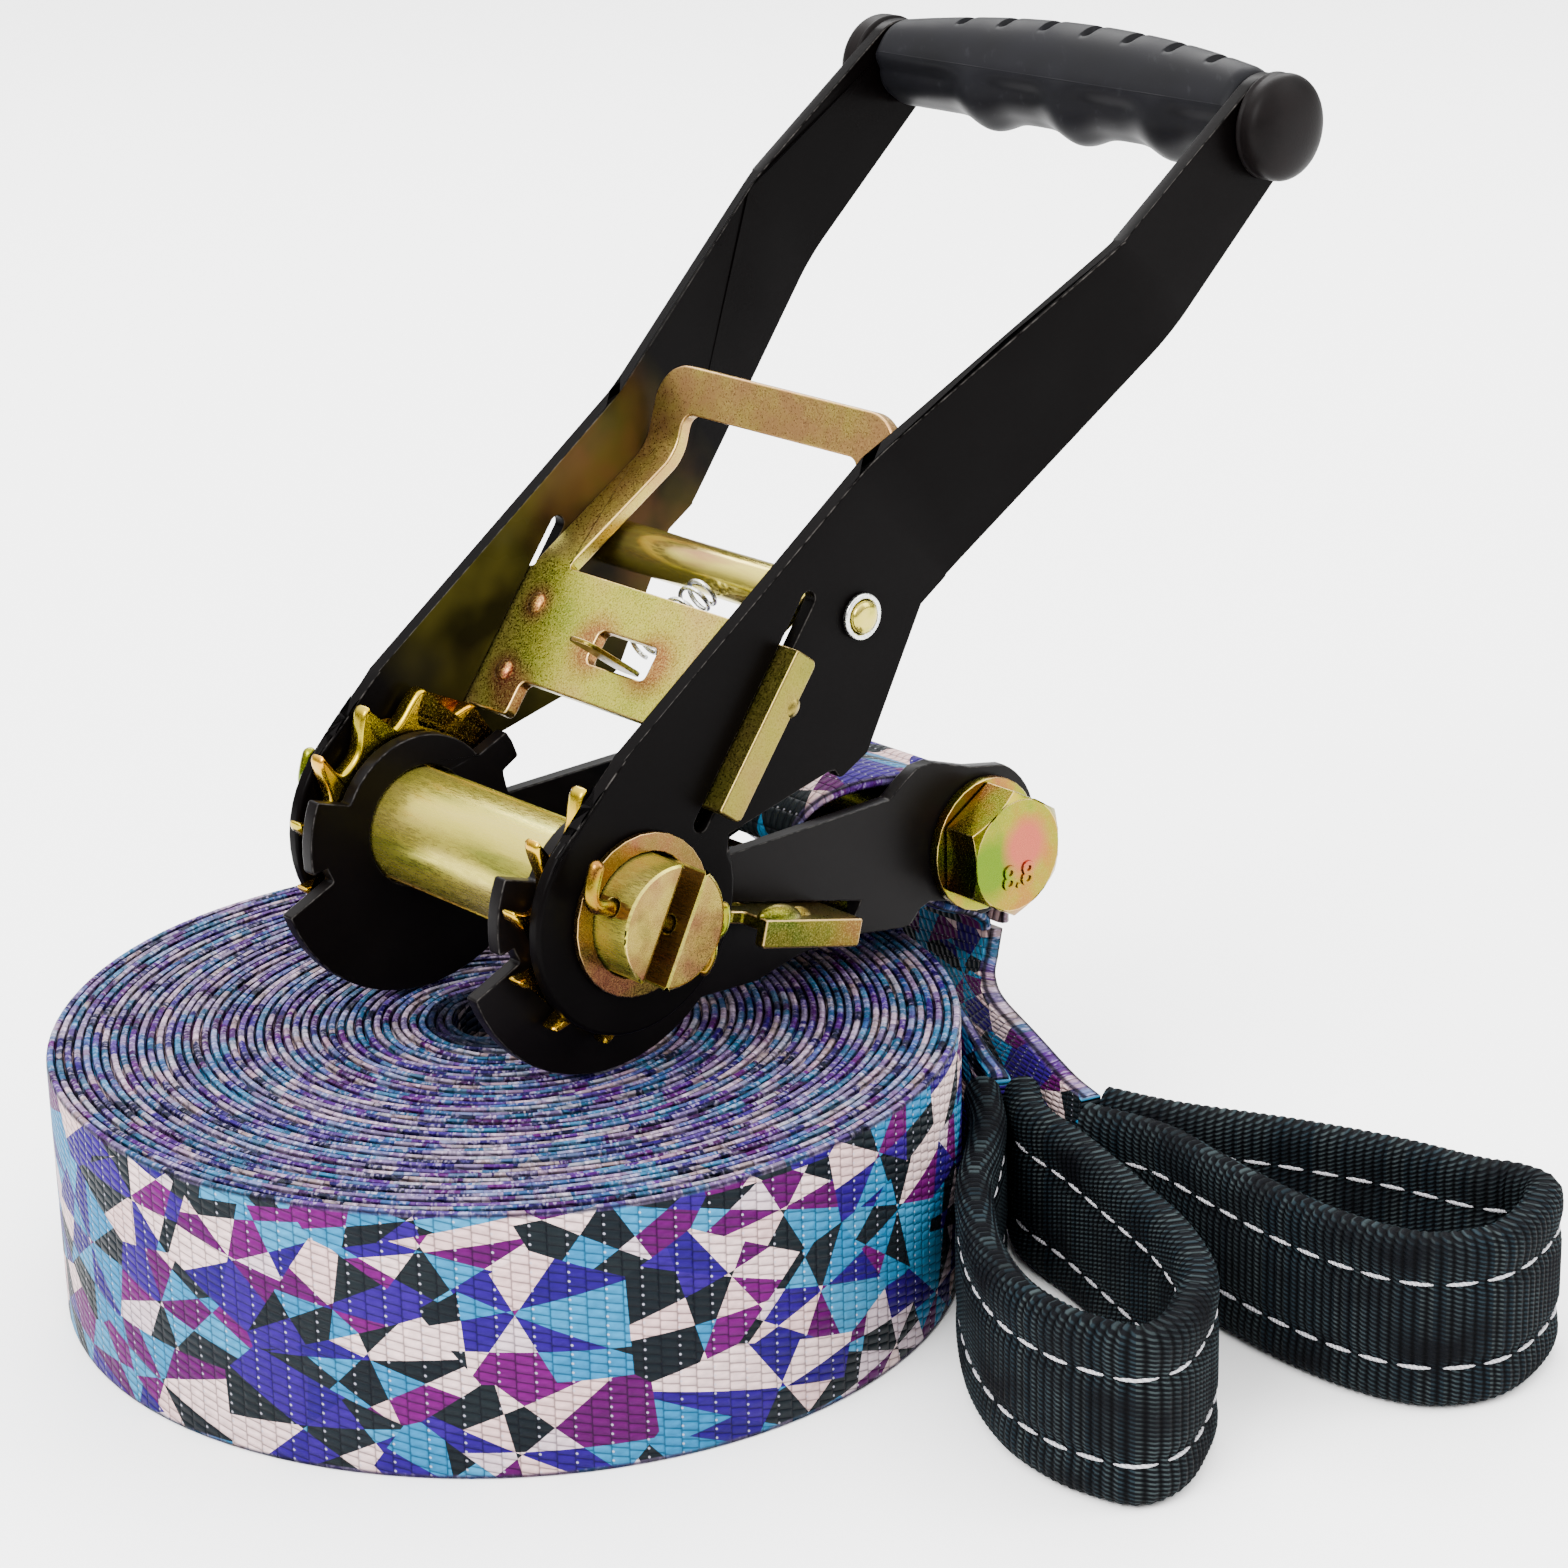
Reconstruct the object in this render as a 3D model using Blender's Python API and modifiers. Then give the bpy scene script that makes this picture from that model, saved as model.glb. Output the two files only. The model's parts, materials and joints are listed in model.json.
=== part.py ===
"""Slackline kit at rest.

A coil of woven webbing stands on edge with a sleeved loop at its free end. A long-handled
ratchet with two pawls stands on the coil, and its short anchor strap hangs down beside the
coil to a second sleeved loop. Metres, +Z up, origin under the middle of the whole kit.
"""

import math

import bmesh
import bpy
from mathutils import Matrix, Vector

# Clearances
FIT_GAP = 0.0003
CUT_OVERRUN = 0.002
MERGE_DISTANCE = 0.00001
ARC_STEP_DEGREES = 7.5
ROUND_SIDES = 28
SMALL_SIDES = 16

# Webbing coil
WEBBING_WIDTH = 0.050
COIL_TURNS = 24
COIL_POINTS_PER_TURN = 24
COIL_WEB_THICKNESS = 0.0021
COIL_LAYER_GAP = 0.0010
COIL_CORE_RADIUS = 0.010
COIL_END_DEGREES = 32.0

# Loops and their sleeves; each route is in shares of the coil's radius
SLEEVE_HEIGHT = 0.033
SLEEVE_THICKNESS = 0.0070
SLEEVE_EDGE_ROUND = 0.0020
FOLDED_WEB_THICKNESS = 0.0045
LOOP_STEP = 0.0060
WRAP_STEP = 0.0042
LINE_LOOP_SHARES = (
    (1.0438, 0.0652), (1.0474, -0.0948), (1.0261, -0.2607), (0.9976, -0.4502), (1.0047, -0.7109),
    (1.0545, -0.9123), (1.1315, -1.0427), (1.2085, -1.1137), (1.2832, -1.1493), (1.3507, -1.1019),
    (1.3981, -0.9953), (1.4277, -0.8649), (1.3981, -0.6754), (1.3270, -0.4858), (1.2322, -0.2547),
    (1.1493, -0.0829), (1.1315, 0.0652),
)
STRAP_LOOP_SHARES = (
    (1.2654, -0.0972), (1.4159, -0.2156), (1.5225, -0.3791), (1.6351, -0.5450), (1.7476, -0.6754),
    (1.8602, -0.7583), (1.9550, -0.7761), (2.0557, -0.7405), (2.1386, -0.6398), (2.1860, -0.5213),
    (2.1386, -0.4562), (2.0616, -0.4206), (1.9076, -0.3140), (1.7062, -0.2073), (1.4573, -0.1007),
    (1.3152, -0.0154),
)
TAIL_SHARES = (
    (0.8566, 0.5308), (0.9360, 0.4088), (1.0071, 0.2666), (1.0533, 0.1540), (1.0794, 0.1066),
    (1.0841, 0.0829),
)

# Where the ratchet stands on the coil
RATCHET_HEADING_DEGREES = 41.4
RATCHET_BACK = 0.0015
RATCHET_FRONT = 0.0043

# Base discs and arms
BASE_PLATE_THICKNESS = 0.0030
WEBBING_SIDE_GAP = 0.0010
DISC_RADIUS = 0.0320
LOBE_RADIUS = 0.0250
NECK_RADIUS = 0.0175
ARM_REACH = 0.0919
ARM_DROP_DEGREES = -8.13
ARM_END_RADIUS = 0.0155
CLOSED_NOTCH_SHARES = (
    (0.832, 0.048), (0.792, 0.228), (0.944, 0.312), (0.892, 0.448), (0.840, 0.530),
)
OPEN_NOTCH_SHARES = ((-0.985, -0.140), (-0.870, -0.100), (-0.852, -0.150), (-0.812, -0.232))
ARM_UNDERSIDE_SHARES = (
    (0.369, -0.275), (0.485, -0.251), (0.626, -0.250), (0.777, -0.276), (0.799, -0.272),
    (0.820, -0.247), (0.850, -0.238), (0.901, -0.251), (0.953, -0.275),
)
ARM_TOPSIDE_SHARES = (
    (0.970, 0.028), (0.862, 0.065), (0.818, 0.064), (0.785, 0.045), (0.739, 0.015),
    (0.520, 0.013),
)

# Spindle and ratchet wheels
SPINDLE_RADIUS = 0.0112
SPINDLE_RUN_GAP = 0.0004
SPINDLE_END_REACH = 0.0085
SPINDLE_SLOT_WIDTH = 0.0058
SPINDLE_SLOT_DEGREES = 62.0
SPINDLE_END_CHAMFER = 0.0006
WHEEL_THICKNESS = 0.0038
WHEEL_SIDE_GAP = 0.0006
WHEEL_TEETH = 12
WHEEL_TIP_RADIUS = 0.0250
WHEEL_ROOT_RADIUS = 0.0188
WHEEL_GAP_DEGREES = 41.0
TOOTH_SHARES = (
    (-0.200, 0.00), (0.000, -0.05), (0.210, 0.03), (0.262, 0.30), (0.225, 0.72),
    (0.200, 1.00), (0.290, 0.93), (0.430, 0.62), (0.600, 0.22),
)
WASHER_RADIUS = 0.0150
WASHER_THICKNESS = 0.0012
COTTER_RADIUS = 0.0014
COTTER_INSET = 0.0050
COTTER_HOLE_GAP = 0.0003
COTTER_REACH_SHARE = 1.34
COTTER_BEND_SHARE = 0.30
COTTER_LEG_SHARES = ((0.0, 1.0), (0.15, 0.45), (0.5, 0.0))

# Handle
HANDLE_ANGLE_DEGREES = 35.0
HANDLE_PLATE_THICKNESS = 0.0030
HANDLE_HUB_RADIUS = 0.0225
HANDLE_REACH = 0.1885
HANDLE_EDGE = 0.0245
GRIP_ROD_RISE = 0.0140
HANDLE_END_RADIUS = 0.0095
BEND_START_SHARE = 0.467
BEND_END_SHARE = 0.780
HANDLE_SPREAD = 0.0139
HOOK_REACH = 0.0469
HOOK_SHARES = ((0.972, -0.303), (1.000, -0.323), (1.000, -0.375), (1.160, -0.399))
HANDLE_UNDERSIDE_SHARES = ((0.426, -0.249), (0.464, -0.257), (0.764, 0.000), (0.809, 0.033))
HANDLE_TOPSIDE_SHARES = ((0.785, 0.951), (0.467, 1.000), (0.080, 1.000))

# Handle rod, grip and caps
GRIP_ROD_RADIUS = 0.0050
GRIP_HEIGHT = 0.0215
GRIP_END_HEIGHT = 0.0160
GRIP_DEPTH = 0.0190
GRIP_FINGER_DEPTH = 0.0022
GRIP_FINGERS = 3
GRIP_SECTIONS = 25
GRIP_CORNER_POWER = 2.8
GRIP_RING_POINTS = 16
GRIP_NOTCHES = 7
GRIP_NOTCH_LENGTH = 0.0095
GRIP_NOTCH_WIDTH = 0.0012
GRIP_NOTCH_DEPTH = 0.0010
GRIP_NOTCH_PITCH = 0.0080
CAP_RADIUS = 0.0093
CAP_HEIGHT = 0.0068
CAP_RIM_SHARE = 0.40
CAP_SOCKET_SHARE = 0.60
CAP_SIDES = 20

# Cross rod of the handle
CROSS_ROD_X = 0.0537
CROSS_ROD_Y = 0.0424
CROSS_ROD_RADIUS = 0.0035
CROSS_ROD_END_RADIUS = 0.0030
CROSS_ROD_COLLAR_RADIUS = 0.0046
CROSS_ROD_COLLAR_LENGTH = 0.0040
CROSS_ROD_HEAD = 0.0009
RIVET_FLAT_SHARE = 0.7
RIVET_ROUND_SHARE = 0.6
RIVET_RING_RADIUS = 0.00435
RIVET_RING_THICKNESS = 0.0010

# Drive pawl in the handle
DRIVE_ANGLE_DEGREES = 53.0
DRIVE_OFFSET = 0.0044
DRIVE_THICKNESS = 0.0026
DRIVE_RETURN = 0.0035
DRIVE_PULL = 0.0100
DRIVE_PLATE_START = 0.0325
DRIVE_PLATE_END = 0.0555
DRIVE_TOOTH_WIDTH = 0.0117
DRIVE_WING_START = 0.0220
DRIVE_WING_END = 0.0540
DRIVE_WING_OUT = 0.0045
DRIVE_FLANGE_DROP = 0.0030
DRIVE_RISE_LENGTH = 0.0300
DRIVE_RISE_HEIGHT = 0.0119
DRIVE_END_LENGTH = 0.0162
DRIVE_END_DROP = 0.0059
DRIVE_LEG_WIDTH = 0.0090
DRIVE_CORNER_RADIUS = 0.0080
DRIVE_INNER_CORNER_RADIUS = 0.0027
GUIDE_SLOT_PLACE = 0.0430
GUIDE_SLOT_LENGTH = 0.0165
GUIDE_SLOT_WIDTH = 0.0067
GUIDE_HEAD_WIDTH = 0.0140
GUIDE_TAIL_WIDTH = 0.0036
GUIDE_THICKNESS = 0.0006
GUIDE_HEAD_RISE = 0.0060
GUIDE_HEAD_DROP = 0.0050
GUIDE_TAIL_DROP = 0.0125

# Lock pawl in the base; its places along the arm are in shares of the arm's reach
LOCK_ANGLE_DEGREES = -15.0
LOCK_DROP = 0.0021
LOCK_THICKNESS = 0.0024
LOCK_RETURN = 0.0035
LOCK_PULL_SHARE = 0.0979
LOCK_PLATE_START_SHARE = 0.3591
LOCK_PLATE_END_SHARE = 0.5734
LOCK_WING_START_SHARE = 0.3101
LOCK_SPRING_SEAT_SHARE = 0.4407
LOCK_WING_OUT = 0.0030
LOCK_FLANGE_DROP = 0.0030
STAY_RADIUS = 0.0030
STAY_REACH_SHARE = 0.7203

# Springs
DRIVE_SPRING_RADIUS = 0.0029
DRIVE_SPRING_CURLS = 6
LOCK_SPRING_RADIUS = 0.0042
LOCK_SPRING_CURLS = 7
SPRING_WIRE_RADIUS = 0.00045
SPRING_POINTS_PER_CURL = 8

# Anchor bolt
BOLT_RADIUS = 0.0070
BOLT_HEAD_WIDTH = 0.0220
BOLT_HEAD_HEIGHT = 0.0082
BOLT_NUT_HEIGHT = 0.0110
BOLT_END = 0.0025
BOLT_WASHER_RADIUS = 0.0132
BOLT_WASHER_THICKNESS = 0.0020
BOLT_CHAMFER_SHARE = 0.6
SPACER_RADIUS = 0.0090

# Anchor strap
STRAP_THICKNESS = 0.0026
STRAP_WRAP_START_SHARES = ((1.095, -2.00), (1.095, -1.05))
STRAP_WRAP_ARC_DEGREES = (-12.0, 98.0)
STRAP_WRAP_LOOP_SHARES = (
    (-1.10, 1.35), (-2.30, 1.58), (-3.40, 1.54), (-4.00, 1.20), (-3.90, 0.82),
    (-3.10, 0.58), (-2.10, 0.15), (-1.20, -0.70), (-0.50, -1.22), (0.20, -1.52),
    (0.58, -1.78), (0.64, -2.00),
)
STRAP_TOP_SHARES = (0.8792, -2.066)
STRAP_END_SHARES = (0.1445, 0.6382)
STRAP_END_GAP = 0.0002
STRAP_FLOOR_GAP = 0.0005
STRAP_NEAR_EDGE_SHARES = (
    (0.0, 0.0, 0.0), (0.1127, 0.3014, 0.0223), (0.3578, 0.4384, 0.1116), (0.6275, 0.5068, 0.2902),
    (0.7500, 0.7123, 0.5357), (0.8824, 0.9521, 0.8036), (1.0, 1.0, 1.0),
)
STRAP_FAR_EDGE_SHARES = (
    (0.0, 0.0, 0.0), (0.1127, 0.5416, 0.1793), (0.3578, 0.7974, 0.3903), (0.6275, 0.8827, 0.5907),
    (0.7500, 0.9467, 0.7489), (0.8824, 0.9851, 0.8966), (1.0, 1.0, 1.0),
)

# Sizes that follow from the ones above
COIL_PITCH = COIL_WEB_THICKNESS + COIL_LAYER_GAP
COIL_RADIUS = COIL_CORE_RADIUS + COIL_PITCH * COIL_TURNS
BASE_INNER_WIDTH = WEBBING_WIDTH + 2 * WEBBING_SIDE_GAP
BASE_PLATE_MIDDLE = BASE_INNER_WIDTH / 2 + BASE_PLATE_THICKNESS / 2
BASE_PLATE_OUTSIDE = BASE_INNER_WIDTH / 2 + BASE_PLATE_THICKNESS
WHEEL_MIDDLE = BASE_PLATE_OUTSIDE + WHEEL_SIDE_GAP + WHEEL_THICKNESS / 2
HANDLE_INSIDE = WHEEL_MIDDLE + WHEEL_THICKNESS / 2 + WHEEL_SIDE_GAP
HANDLE_MIDDLE = HANDLE_INSIDE + HANDLE_PLATE_THICKNESS / 2
HANDLE_OUTSIDE = HANDLE_INSIDE + HANDLE_PLATE_THICKNESS
HANDLE_WIDE_MIDDLE = HANDLE_MIDDLE + HANDLE_SPREAD
SPINDLE_HOLE_RADIUS = SPINDLE_RADIUS + SPINDLE_RUN_GAP
SPINDLE_LENGTH = 2 * (HANDLE_OUTSIDE + FIT_GAP + WASHER_THICKNESS + SPINDLE_END_REACH)
SPINDLE_HEIGHT = WEBBING_WIDTH + FIT_GAP + DISC_RADIUS
PAWL_TIP = WHEEL_TIP_RADIUS + FIT_GAP
DRIVE_SPAN = HANDLE_INSIDE - FIT_GAP
DRIVE_WING_REACH = HANDLE_OUTSIDE + DRIVE_WING_OUT
LOCK_WING_REACH = HANDLE_OUTSIDE + LOCK_WING_OUT
LOCK_PULL = ARM_REACH * LOCK_PULL_SHARE
LOCK_PLATE_START = ARM_REACH * LOCK_PLATE_START_SHARE
LOCK_PLATE_END = ARM_REACH * LOCK_PLATE_END_SHARE
LOCK_WING_START = ARM_REACH * LOCK_WING_START_SHARE
LOCK_SPRING_SEAT = ARM_REACH * LOCK_SPRING_SEAT_SHARE
STAY_REACH = ARM_REACH * STAY_REACH_SHARE


def clear_scene():
    for item in list(bpy.data.objects):
        bpy.data.objects.remove(item, do_unlink=True)


def new_collection(name):
    group = bpy.data.collections.new(name)
    bpy.context.scene.collection.children.link(group)
    return group


def new_material(name, colour, roughness, metallic):
    finish = bpy.data.materials.new(name)
    finish.use_nodes = True
    shader = finish.node_tree.nodes["Principled BSDF"]
    shader.inputs["Base Color"].default_value = (*colour, 1.0)
    shader.inputs["Roughness"].default_value = roughness
    shader.inputs["Metallic"].default_value = metallic
    finish.diffuse_color = (*colour, 1.0)
    return finish


clear_scene()
PART = new_collection("slackline")
CUTTERS = new_collection("cutters")


def frame_at(name, parent=None, place=(0.0, 0.0, 0.0), turn=(0.0, 0.0, 0.0)):
    """An empty that carries pieces; turn is in degrees."""
    empty = bpy.data.objects.new(name, None)
    PART.objects.link(empty)
    empty.parent = parent
    empty.location = place
    empty.rotation_euler = [math.radians(angle) for angle in turn]
    return empty


def shade(mesh, sharp_degrees=35.0):
    mesh.shade_smooth()
    mesh.set_sharp_from_angle(angle=math.radians(sharp_degrees))


def add_piece(name, mesh, finish, parent):
    piece = bpy.data.objects.new(name, mesh)
    mesh.name = name
    mesh.materials.clear()
    mesh.materials.append(finish)
    piece.parent = parent
    PART.objects.link(piece)
    shade(mesh)
    return piece


def add_cutter(name, mesh, parent):
    cutter = bpy.data.objects.new(name, mesh)
    cutter.parent = parent
    cutter.display_type = "WIRE"
    cutter.hide_render = True
    CUTTERS.objects.link(cutter)
    return cutter


def combine(piece, other, operation):
    """Cuts, joins or keeps the common volume of a piece and a helper shape."""
    step = piece.modifiers.new(other.name, "BOOLEAN")
    step.operation = operation
    step.solver = "EXACT"
    step.object = other


def round_edges(piece, width, segments, limit_degrees=40.0):
    bevel = piece.modifiers.new("rounded edges", "BEVEL")
    bevel.width = width
    bevel.segments = segments
    bevel.limit_method = "ANGLE"
    bevel.angle_limit = math.radians(limit_degrees)


def polar(radius, degrees, centre=(0.0, 0.0)):
    angle = math.radians(degrees)
    return (centre[0] + radius * math.cos(angle), centre[1] + radius * math.sin(angle))


def arc(radius, start, end, centre=(0.0, 0.0)):
    """Points on an arc from one angle to another, in degrees."""
    count = max(1, math.ceil(abs(end - start) / ARC_STEP_DEGREES))
    return [polar(radius, start + (end - start) * n / count, centre) for n in range(count + 1)]


def circle(radius, centre=(0.0, 0.0), sides=ROUND_SIDES):
    return [polar(radius, 360.0 * n / sides, centre) for n in range(sides)]


def slot_outline(start, end, low, high):
    """A straight slot along X with half-round ends."""
    radius = (high - low) / 2
    middle = (high + low) / 2
    far_end = arc(radius, -90, 90, (end - radius, middle))
    return far_end + arc(radius, 90, 270, (start + radius, middle))


def sized(shares, size_x, size_y=None):
    """Outline points from shares of one size, or of one size for X and another for Y."""
    size_y = size_x if size_y is None else size_y
    return [(share_x * size_x, share_y * size_y) for share_x, share_y in shares]


def turned_points(points, degrees):
    angle = math.radians(degrees)
    return [
        (x * math.cos(angle) - y * math.sin(angle), x * math.sin(angle) + y * math.cos(angle))
        for x, y in points
    ]


def tidy_mesh(name, shape):
    bmesh.ops.remove_doubles(shape, verts=shape.verts, dist=MERGE_DISTANCE)
    bmesh.ops.recalc_face_normals(shape, faces=shape.faces)
    mesh = bpy.data.meshes.new(name)
    shape.to_mesh(mesh)
    shape.free()
    return mesh


def curve_to_mesh(name, curve):
    """The welded mesh of a curve, which is then removed."""
    holder = bpy.data.objects.new(name + "_curve", curve)
    bpy.context.scene.collection.objects.link(holder)
    graph = bpy.context.evaluated_depsgraph_get()
    raw = bpy.data.meshes.new_from_object(holder.evaluated_get(graph))
    bpy.data.objects.remove(holder, do_unlink=True)
    shape = bmesh.new()
    shape.from_mesh(raw)
    return tidy_mesh(name, shape)


def plate_mesh(name, loops, thickness):
    """A flat plate about z = 0 from its outline and its holes."""
    curve = bpy.data.curves.new(name, "CURVE")
    curve.dimensions = "2D"
    curve.fill_mode = "BOTH"
    curve.extrude = thickness / 2
    for loop in loops:
        spline = curve.splines.new("POLY")
        spline.points.add(len(loop) - 1)
        for point, (x, y) in zip(spline.points, loop):
            point.co = (x, y, 0.0, 1.0)
        spline.use_cyclic_u = True
    return curve_to_mesh(name, curve)


def wire_mesh(name, points, radius, resolution):
    """A round wire along points, with filled ends."""
    curve = bpy.data.curves.new(name, "CURVE")
    curve.dimensions = "3D"
    curve.bevel_depth = radius
    curve.bevel_resolution = resolution
    curve.use_fill_caps = True
    spline = curve.splines.new("POLY")
    spline.points.add(len(points) - 1)
    for point, place in zip(spline.points, points):
        point.co = (*place, 1.0)
    return curve_to_mesh(name, curve)


def rod_mesh(name, radius, low, high, sides=ROUND_SIDES):
    """A plain cylinder along Z."""
    shape = bmesh.new()
    bmesh.ops.create_cone(
        shape, cap_ends=True, segments=sides, radius1=radius, radius2=radius, depth=high - low,
        matrix=Matrix.Translation((0.0, 0.0, (low + high) / 2)),
    )
    return tidy_mesh(name, shape)


def box_mesh(name, low, high):
    shape = bmesh.new()
    low, high = Vector(low), Vector(high)
    grow = Matrix.Diagonal((*(high - low), 1.0))
    bmesh.ops.create_cube(shape, size=1.0, matrix=Matrix.Translation((low + high) / 2) @ grow)
    return tidy_mesh(name, shape)


def loft_mesh(name, rings):
    """A skin over rings of equal point counts, with a face over each end ring."""
    shape = bmesh.new()
    rows = [[shape.verts.new(point) for point in ring] for ring in rings]
    count = len(rows[0])
    for row, following in zip(rows, rows[1:]):
        for n in range(count):
            after = (n + 1) % count
            shape.faces.new((row[n], row[after], following[after], following[n]))
    shape.faces.new(rows[0])
    shape.faces.new(rows[-1])
    return tidy_mesh(name, shape)


def turned_piece(name, profile, finish, parent, place, closed=False, sides=ROUND_SIDES):
    """A turned piece about Z; the profile of (radius, height) runs down its outer side."""
    mesh = bpy.data.meshes.new(name)
    points = [(radius, 0.0, height) for radius, height in profile]
    edges = [(n, n + 1) for n in range(len(points) - 1)]
    if closed:
        edges.append((len(points) - 1, 0))
    mesh.from_pydata(points, edges, [])
    piece = add_piece(name, mesh, finish, parent)
    piece.location = place
    screw = piece.modifiers.new("turning", "SCREW")
    screw.steps = sides
    screw.render_steps = sides
    screw.use_merge_vertices = True
    screw.merge_threshold = MERGE_DISTANCE
    screw.use_smooth_shade = True
    return piece


def move_mesh(mesh, matrix):
    mesh.transform(matrix)
    return mesh


def mirrored_mesh(name, mesh):
    """The other-hand copy of a mesh, mirrored through z = 0."""
    shape = bmesh.new()
    shape.from_mesh(mesh)
    bmesh.ops.transform(shape, matrix=Matrix.Diagonal((1.0, 1.0, -1.0, 1.0)), verts=shape.verts)
    bmesh.ops.reverse_faces(shape, faces=shape.faces)
    return tidy_mesh(name, shape)


def split_along_x(mesh, places):
    """Adds an edge line across a sheet at each place along X, where it will bend."""
    shape = bmesh.new()
    shape.from_mesh(mesh)
    for place in places:
        bmesh.ops.bisect_plane(
            shape, geom=shape.verts[:] + shape.edges[:] + shape.faces[:], dist=MERGE_DISTANCE,
            plane_co=(place, 0.0, 0.0), plane_no=(1.0, 0.0, 0.0),
        )
    shape.to_mesh(mesh)
    shape.free()


def fold_sheet(mesh, start, legs):
    """Folds a flat sheet, X along it and Z through it, onto legs of (along, up) from start."""
    lengths = [math.hypot(*leg) for leg in legs]
    normals = [Vector((-up, along)).normalized() for along, up in legs]
    before = Vector((0.0, 1.0))
    stations = [(start, Vector((start, 0.0)))]
    for length, leg in zip(lengths, legs):
        stations.append((stations[-1][0] + length, stations[-1][1] + Vector(leg)))
    split_along_x(mesh, [place for place, _ in stations[:-1]])
    for vertex in mesh.vertices:
        along, through = vertex.co.x, vertex.co.z
        if along < start - MERGE_DISTANCE:
            continue
        passed = [n for n, (place, _) in enumerate(stations[:-1]) if along >= place - MERGE_DISTANCE]
        index = passed[-1]
        place, base = stations[index]
        normal = normals[index]
        if abs(along - place) <= 2 * MERGE_DISTANCE:
            previous = normals[index - 1] if index else before
            mitre = (previous + normal).normalized()
            spot = base + mitre * (through / mitre.dot(normal))
        else:
            direction = Vector((normal.y, -normal.x))
            spot = base + direction * (along - place) + normal * through
        vertex.co.x, vertex.co.z = spot


def curve_through(route, parts):
    """Points on a smooth curve through a route, with even parts to each of its spans."""
    places = [Vector(point) for point in route]
    fine = []
    for n in range(len(places) - 1):
        one, two = places[n], places[n + 1]
        zero = places[n - 1] if n else one + (one - two)
        three = places[n + 2] if n + 2 < len(places) else two + (two - one)
        for k in range(parts):
            t = k / parts
            fine.append(0.5 * (
                2 * one + (two - zero) * t + (2 * zero - 5 * one + 4 * two - three) * t ** 2
                + (3 * one - zero - 3 * two + three) * t ** 3
            ))
    fine.append(places[-1])
    return fine


def smooth_route(route, step):
    """Points a step apart on a smooth curve through a route."""
    fine = curve_through(route, 12)
    lengths = [0.0]
    for one, two in zip(fine, fine[1:]):
        lengths.append(lengths[-1] + (two - one).length)
    count = max(2, round(lengths[-1] / step))
    even = []
    spot = 0
    for n in range(count + 1):
        target = lengths[-1] * n / count
        while spot < len(fine) - 2 and lengths[spot + 1] < target:
            spot += 1
        span = lengths[spot + 1] - lengths[spot]
        even.append(fine[spot].lerp(fine[spot + 1], (target - lengths[spot]) / span))
    return even


def side_normals(points):
    """The left-hand normal at each point of a flat route."""
    normals = []
    for n in range(len(points)):
        ahead = points[min(n + 1, len(points) - 1)] - points[max(n - 1, 0)]
        normals.append(Vector((-ahead.y, ahead.x)).normalized())
    return normals


def ribbon_outline(points, thickness):
    """The outline of a ribbon of even thickness along a flat route, seen edge on."""
    half = thickness / 2
    sides = side_normals(points)
    left = [tuple(point + side * half) for point, side in zip(points, sides)]
    right = [tuple(point - side * half) for point, side in zip(points, sides)]
    return left + right[::-1]


# Finishes
BLACK_STEEL = new_material("black_powder_coated_steel", (0.012, 0.012, 0.013), 0.42, 0.0)
PLATED_STEEL = new_material("yellow_zinc_plated_steel", (0.55, 0.47, 0.24), 0.30, 1.0)
BRIGHT_STEEL = new_material("bright_zinc_plated_steel", (0.62, 0.64, 0.64), 0.28, 1.0)
GREY_PLASTIC = new_material("charcoal_moulded_grip", (0.030, 0.031, 0.033), 0.52, 0.0)
BLACK_RUBBER = new_material("black_rubber_caps", (0.018, 0.018, 0.018), 0.48, 0.0)
PRINTED_WEBBING = new_material("printed_polyester_webbing", (0.22, 0.20, 0.42), 0.62, 0.0)
SLEEVE_WEBBING = new_material("black_ribbed_sleeve", (0.015, 0.018, 0.022), 0.75, 0.0)

# Frames
STAND = frame_at("stand")
HEADING = math.radians(RATCHET_HEADING_DEGREES)
ALONG = Vector((math.cos(HEADING), math.sin(HEADING)))
FRONTWARD = Vector((ALONG.y, -ALONG.x))
RATCHET_PLACE = FRONTWARD * RATCHET_FRONT - ALONG * RATCHET_BACK
RATCHET = frame_at(
    "ratchet_frame", STAND, (*RATCHET_PLACE, SPINDLE_HEIGHT), (90.0, 0.0, RATCHET_HEADING_DEGREES))
HANDLE_HINGE = frame_at("handle_hinge", RATCHET)
SPINDLE_AXIS = frame_at("spindle_axis", RATCHET)
DRIVE_GUIDE = frame_at("drive_pawl_guide", HANDLE_HINGE, turn=(0.0, 0.0, DRIVE_ANGLE_DEGREES))
LOCK_GUIDE = frame_at("lock_pawl_guide", RATCHET, turn=(0.0, 0.0, LOCK_ANGLE_DEGREES))
BOLT_PLACE = polar(ARM_REACH, ARM_DROP_DEGREES)
STRAP_SEAT = SPACER_RADIUS + FIT_GAP + STRAP_THICKNESS / 2
SIDES = (("front", 1.0), ("back", -1.0))
UPRIGHT = Matrix.Rotation(math.radians(90.0), 4, "X")


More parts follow.
